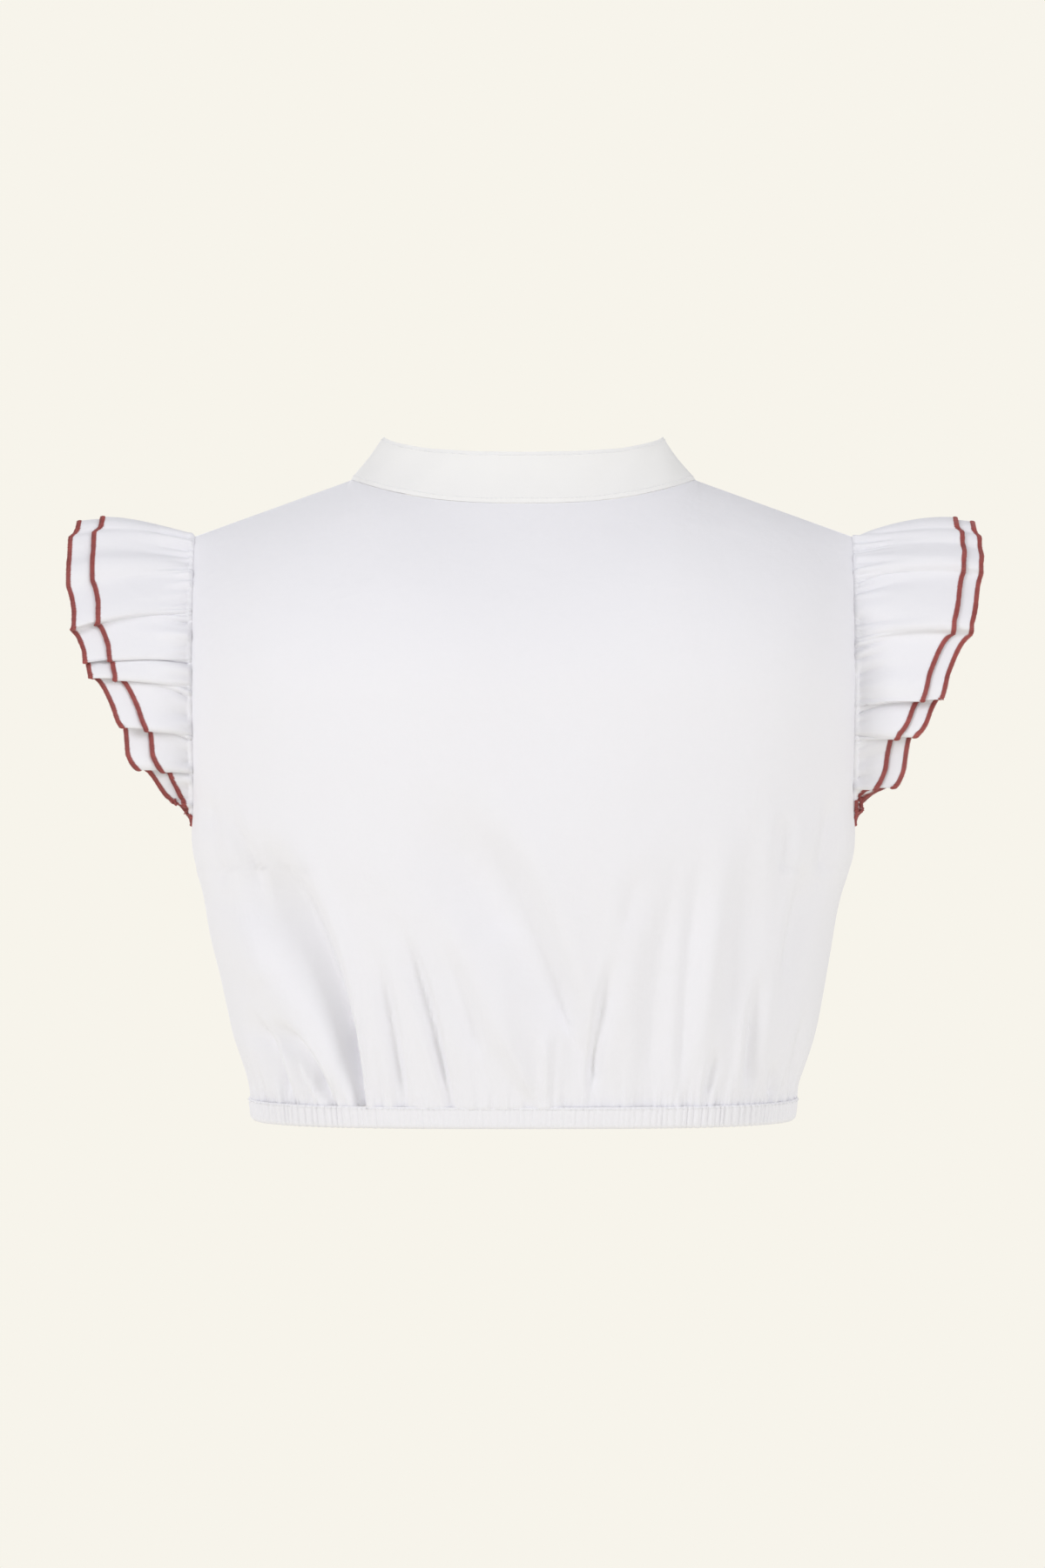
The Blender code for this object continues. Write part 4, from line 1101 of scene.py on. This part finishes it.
def placketPiece():
    rows = []
    places = np.linspace(-band["half"], band["half"], band["columns"])
    for height in np.linspace(form["hem"], form["casingTop"], 6)[:-1]:
        rows.append(sectionRow(-1, np.array([centreSpan(x, 0.0) for x in places]), height))
    for level in np.concatenate([np.linspace(0.0, 1.0, 60), np.linspace(1.0, 2.0, 24)[1:]]):
        rows.append(bodyRow(-1, np.array([centreSpan(x, level) for x in places]), level))
    grid = np.array(rows)
    normals = unit(np.cross(np.gradient(grid, axis=0), np.gradient(grid, axis=1)))
    normals *= -1.0 if normals[:, :, 1].sum() > 0 else 1.0
    across = np.linspace(-1, 1, band["columns"])
    rounded = band["round"] * (1.0 - across**8)
    middle = grid[:, band["columns"] // 2]
    climbed = np.concatenate([[0.0], np.cumsum(np.linalg.norm(np.diff(middle, axis=0), axis=1))])
    waves = 0.00022 * np.sin(climbed[:, None] * 130 + across * 2) * (np.abs(across) > 0.3)
    outer = grid + normals * (band["lift"] + rounded + waves)[..., None]
    inner = grid + normals * band["inside"]
    flat = (across * band["half"], climbed[:, None])
    cut = np.stack([np.broadcast_to(values, grid.shape[:2]) for values in flat], axis=2)
    piece = shell("buttonBand", list(outer), list(inner), collarCotton, list(cut), 80)
    lines = []
    for share, seed in ((0.09, 8), (0.91, 9)):
        line = between(np.swapaxes(outer, 0, 1), share)
        facing = normals[:, int(share * (band["columns"] - 1))]
        lines.append(stitchRow("bandStitches" + str(seed), line, facing, 0.0028, seed))
    return piece, joinInto("bandStitches", lines), outer, normals


print("button band")
buttonBand, bandStitches, bandFace, bandNormals = placketPiece()
dress(buttonBand, "button_placket")
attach(bandStitches, "root")

# The buttons keep their own solids. Each is sewn on through four holes, over a stitched hole that is a little longer
button = {
    "holeStep": 0.00117,
    "strandHalf": 0.00125,
    "strandRise": 0.0003,
    "strandRadius": 0.00024,
    "cutLength": 0.0138,
    "cutWidth": 0.0011,
    "barHalf": 0.0005,
    "barRise": 0.00014,
    "barRadius": 0.00021,
    "pitch": 0.00046,
}


def sewnButtons():
    line, facings = bandFace[:, band["columns"] // 2], bandNormals[:, band["columns"] // 2]
    half, rise = button["strandHalf"], button["strandRise"]
    path = [(x * half, 0.0, rise * (1 - x**4)) for x in (-1.0, -0.7, 0.0, 0.7, 1.0)]
    strand = threadPiece("strandPiece", path, button["strandRadius"], 6, False)
    half, rise = button["barHalf"], button["barRise"]
    path = [(x * half, 0.0, rise * (1 - x * x)) for x in (-1.0, 0.0, 1.0)]
    bar = threadPiece("barPiece", path, button["barRadius"], 5, False)
    threads, bars = [], []
    for number, height in enumerate(band["buttons"], 1):
        disc = bpy.data.objects[f"button_{number}"]
        for slot in disc.material_slots:
            slot.material = pearl
        points = np.array([vertex.co for vertex in disc.data.vertices])
        centre = (points.min(axis=0) + points.max(axis=0)) / 2
        facing = unit(np.array([np.interp(height, line[:, 2], facings[:, i]) for i in range(3)]))
        upwards = unit(np.array([0.0, 0.0, 1.0]) - facing * facing[2])
        inside = np.linalg.norm(np.cross(points - centre, facing), axis=1) < 0.0024
        face = ((points - centre) @ facing)[inside].max()
        for x in (-button["holeStep"], button["holeStep"]):
            threads.append((centre + facing * face + np.array([x, 0.0, 0.0]), upwards, facing))
        cut = np.arange(height - button["cutLength"] / 2, height + button["cutLength"] / 2, button["pitch"])
        for z in cut:
            seat = np.array([np.interp(z, line[:, 2], line[:, i]) for i in range(3)])
            for x in (-button["cutWidth"] / 2, button["cutWidth"] / 2):
                bars.append((seat + np.array([x, 0.0, 0.0]), np.array([1.0, 0.0, 0.0]), facing))
    made = []
    for name, rows, piece, seed in (("buttonThreads", threads, strand, 13), ("buttonholes", bars, bar, 14)):
        at, ways, ups = (np.array(column) for column in zip(*rows))
        made.append(repeatAlong(name, at, ways, ups, piece, 0.06, seed, whiteThread))
    for piece in (strand, bar):
        bpy.data.objects.remove(piece)
    return made


print("buttons")
for piece in sewnButtons():
    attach(piece, "root")

# Floor, light and camera
studio = {
    "tone": (0.930, 0.905, 0.832, 1),
    "ambient": (0.990, 0.985, 0.985, 1),
    "ambientStrength": 0.54,
    "floor": (40, -0.95),
    "aim": (0, 0, -0.2),
    # name, place, size, power, colour
    "boxes": (
        ("keyBox", (2.2, 1.8, 0.8), (0.9, 1.2), 30, (0.955, 0.955, 1.0)),
        ("fillBox", (-2.2, 2.0, 0.9), (1.2, 1.4), 28, (0.955, 0.955, 1.0)),
        ("frontBox", (1.0, -2.8, 0.9), (1.6, 1.6), 34, (0.965, 0.965, 1.0)),
    ),
    "camera": {"place": (0.0005, 2.7, -0.158), "turn": (90, 0, 180), "lens": 108, "sensor": 36},
}


def stagePiece():
    reach, height = studio["floor"]
    points = [(x * reach, y * reach, height) for x, y in ((-1, -1), (1, -1), (1, 1), (-1, 1))]
    material = bpy.data.materials.new("studioFloor")
    material.use_nodes = True
    tree = material.node_tree
    tree.nodes.clear()
    glow, out = tree.nodes.new("ShaderNodeEmission"), tree.nodes.new("ShaderNodeOutputMaterial")
    glow.inputs["Color"].default_value = studio["tone"]
    tree.links.new(glow.outputs[0], out.inputs["Surface"])
    floor = plainMesh("studioFloor", points, [(0, 1, 2, 3)], material, False)


def worldLight():
    world = bpy.data.worlds.new("studioWorld")
    bpy.context.scene.world = world
    world.use_nodes = True
    tree = world.node_tree
    tree.nodes.clear()
    seen, light = tree.nodes.new("ShaderNodeBackground"), tree.nodes.new("ShaderNodeBackground")
    seen.inputs["Color"].default_value = studio["tone"]
    light.inputs["Color"].default_value = studio["ambient"]
    light.inputs["Strength"].default_value = studio["ambientStrength"]
    path, mix = tree.nodes.new("ShaderNodeLightPath"), tree.nodes.new("ShaderNodeMixShader")
    out = tree.nodes.new("ShaderNodeOutputWorld")
    tree.links.new(path.outputs["Is Camera Ray"], mix.inputs[0])
    tree.links.new(light.outputs[0], mix.inputs[1])
    tree.links.new(seen.outputs[0], mix.inputs[2])
    tree.links.new(mix.outputs[0], out.inputs["Surface"])


def softBox(name, place, size, power, colour):
    data = bpy.data.lights.new(name, "AREA")
    data.shape = "RECTANGLE"
    data.size, data.size_y = size
    data.energy = power
    data.color = colour
    obj = bpy.data.objects.new(name, data)
    bpy.context.scene.collection.objects.link(obj)
    obj.location = place
    obj.rotation_euler = (Vector(studio["aim"]) - Vector(place)).to_track_quat("-Z", "Y").to_euler()


stagePiece()
worldLight()
for box in studio["boxes"]:
    softBox(*box)

bpy.context.scene.view_settings.view_transform = "Standard"
camera = bpy.data.objects.new("camera", bpy.data.cameras.new("camera"))
bpy.context.scene.collection.objects.link(camera)
camera.location = studio["camera"]["place"]
camera.rotation_euler = [math.radians(angle) for angle in studio["camera"]["turn"]]
camera.data.lens, camera.data.sensor_width = studio["camera"]["lens"], studio["camera"]["sensor"]
camera.data.dof.use_dof = False
bpy.context.scene.camera = camera

for obj in (stitchPiece, wrapPiece):
    bpy.data.objects.remove(obj)
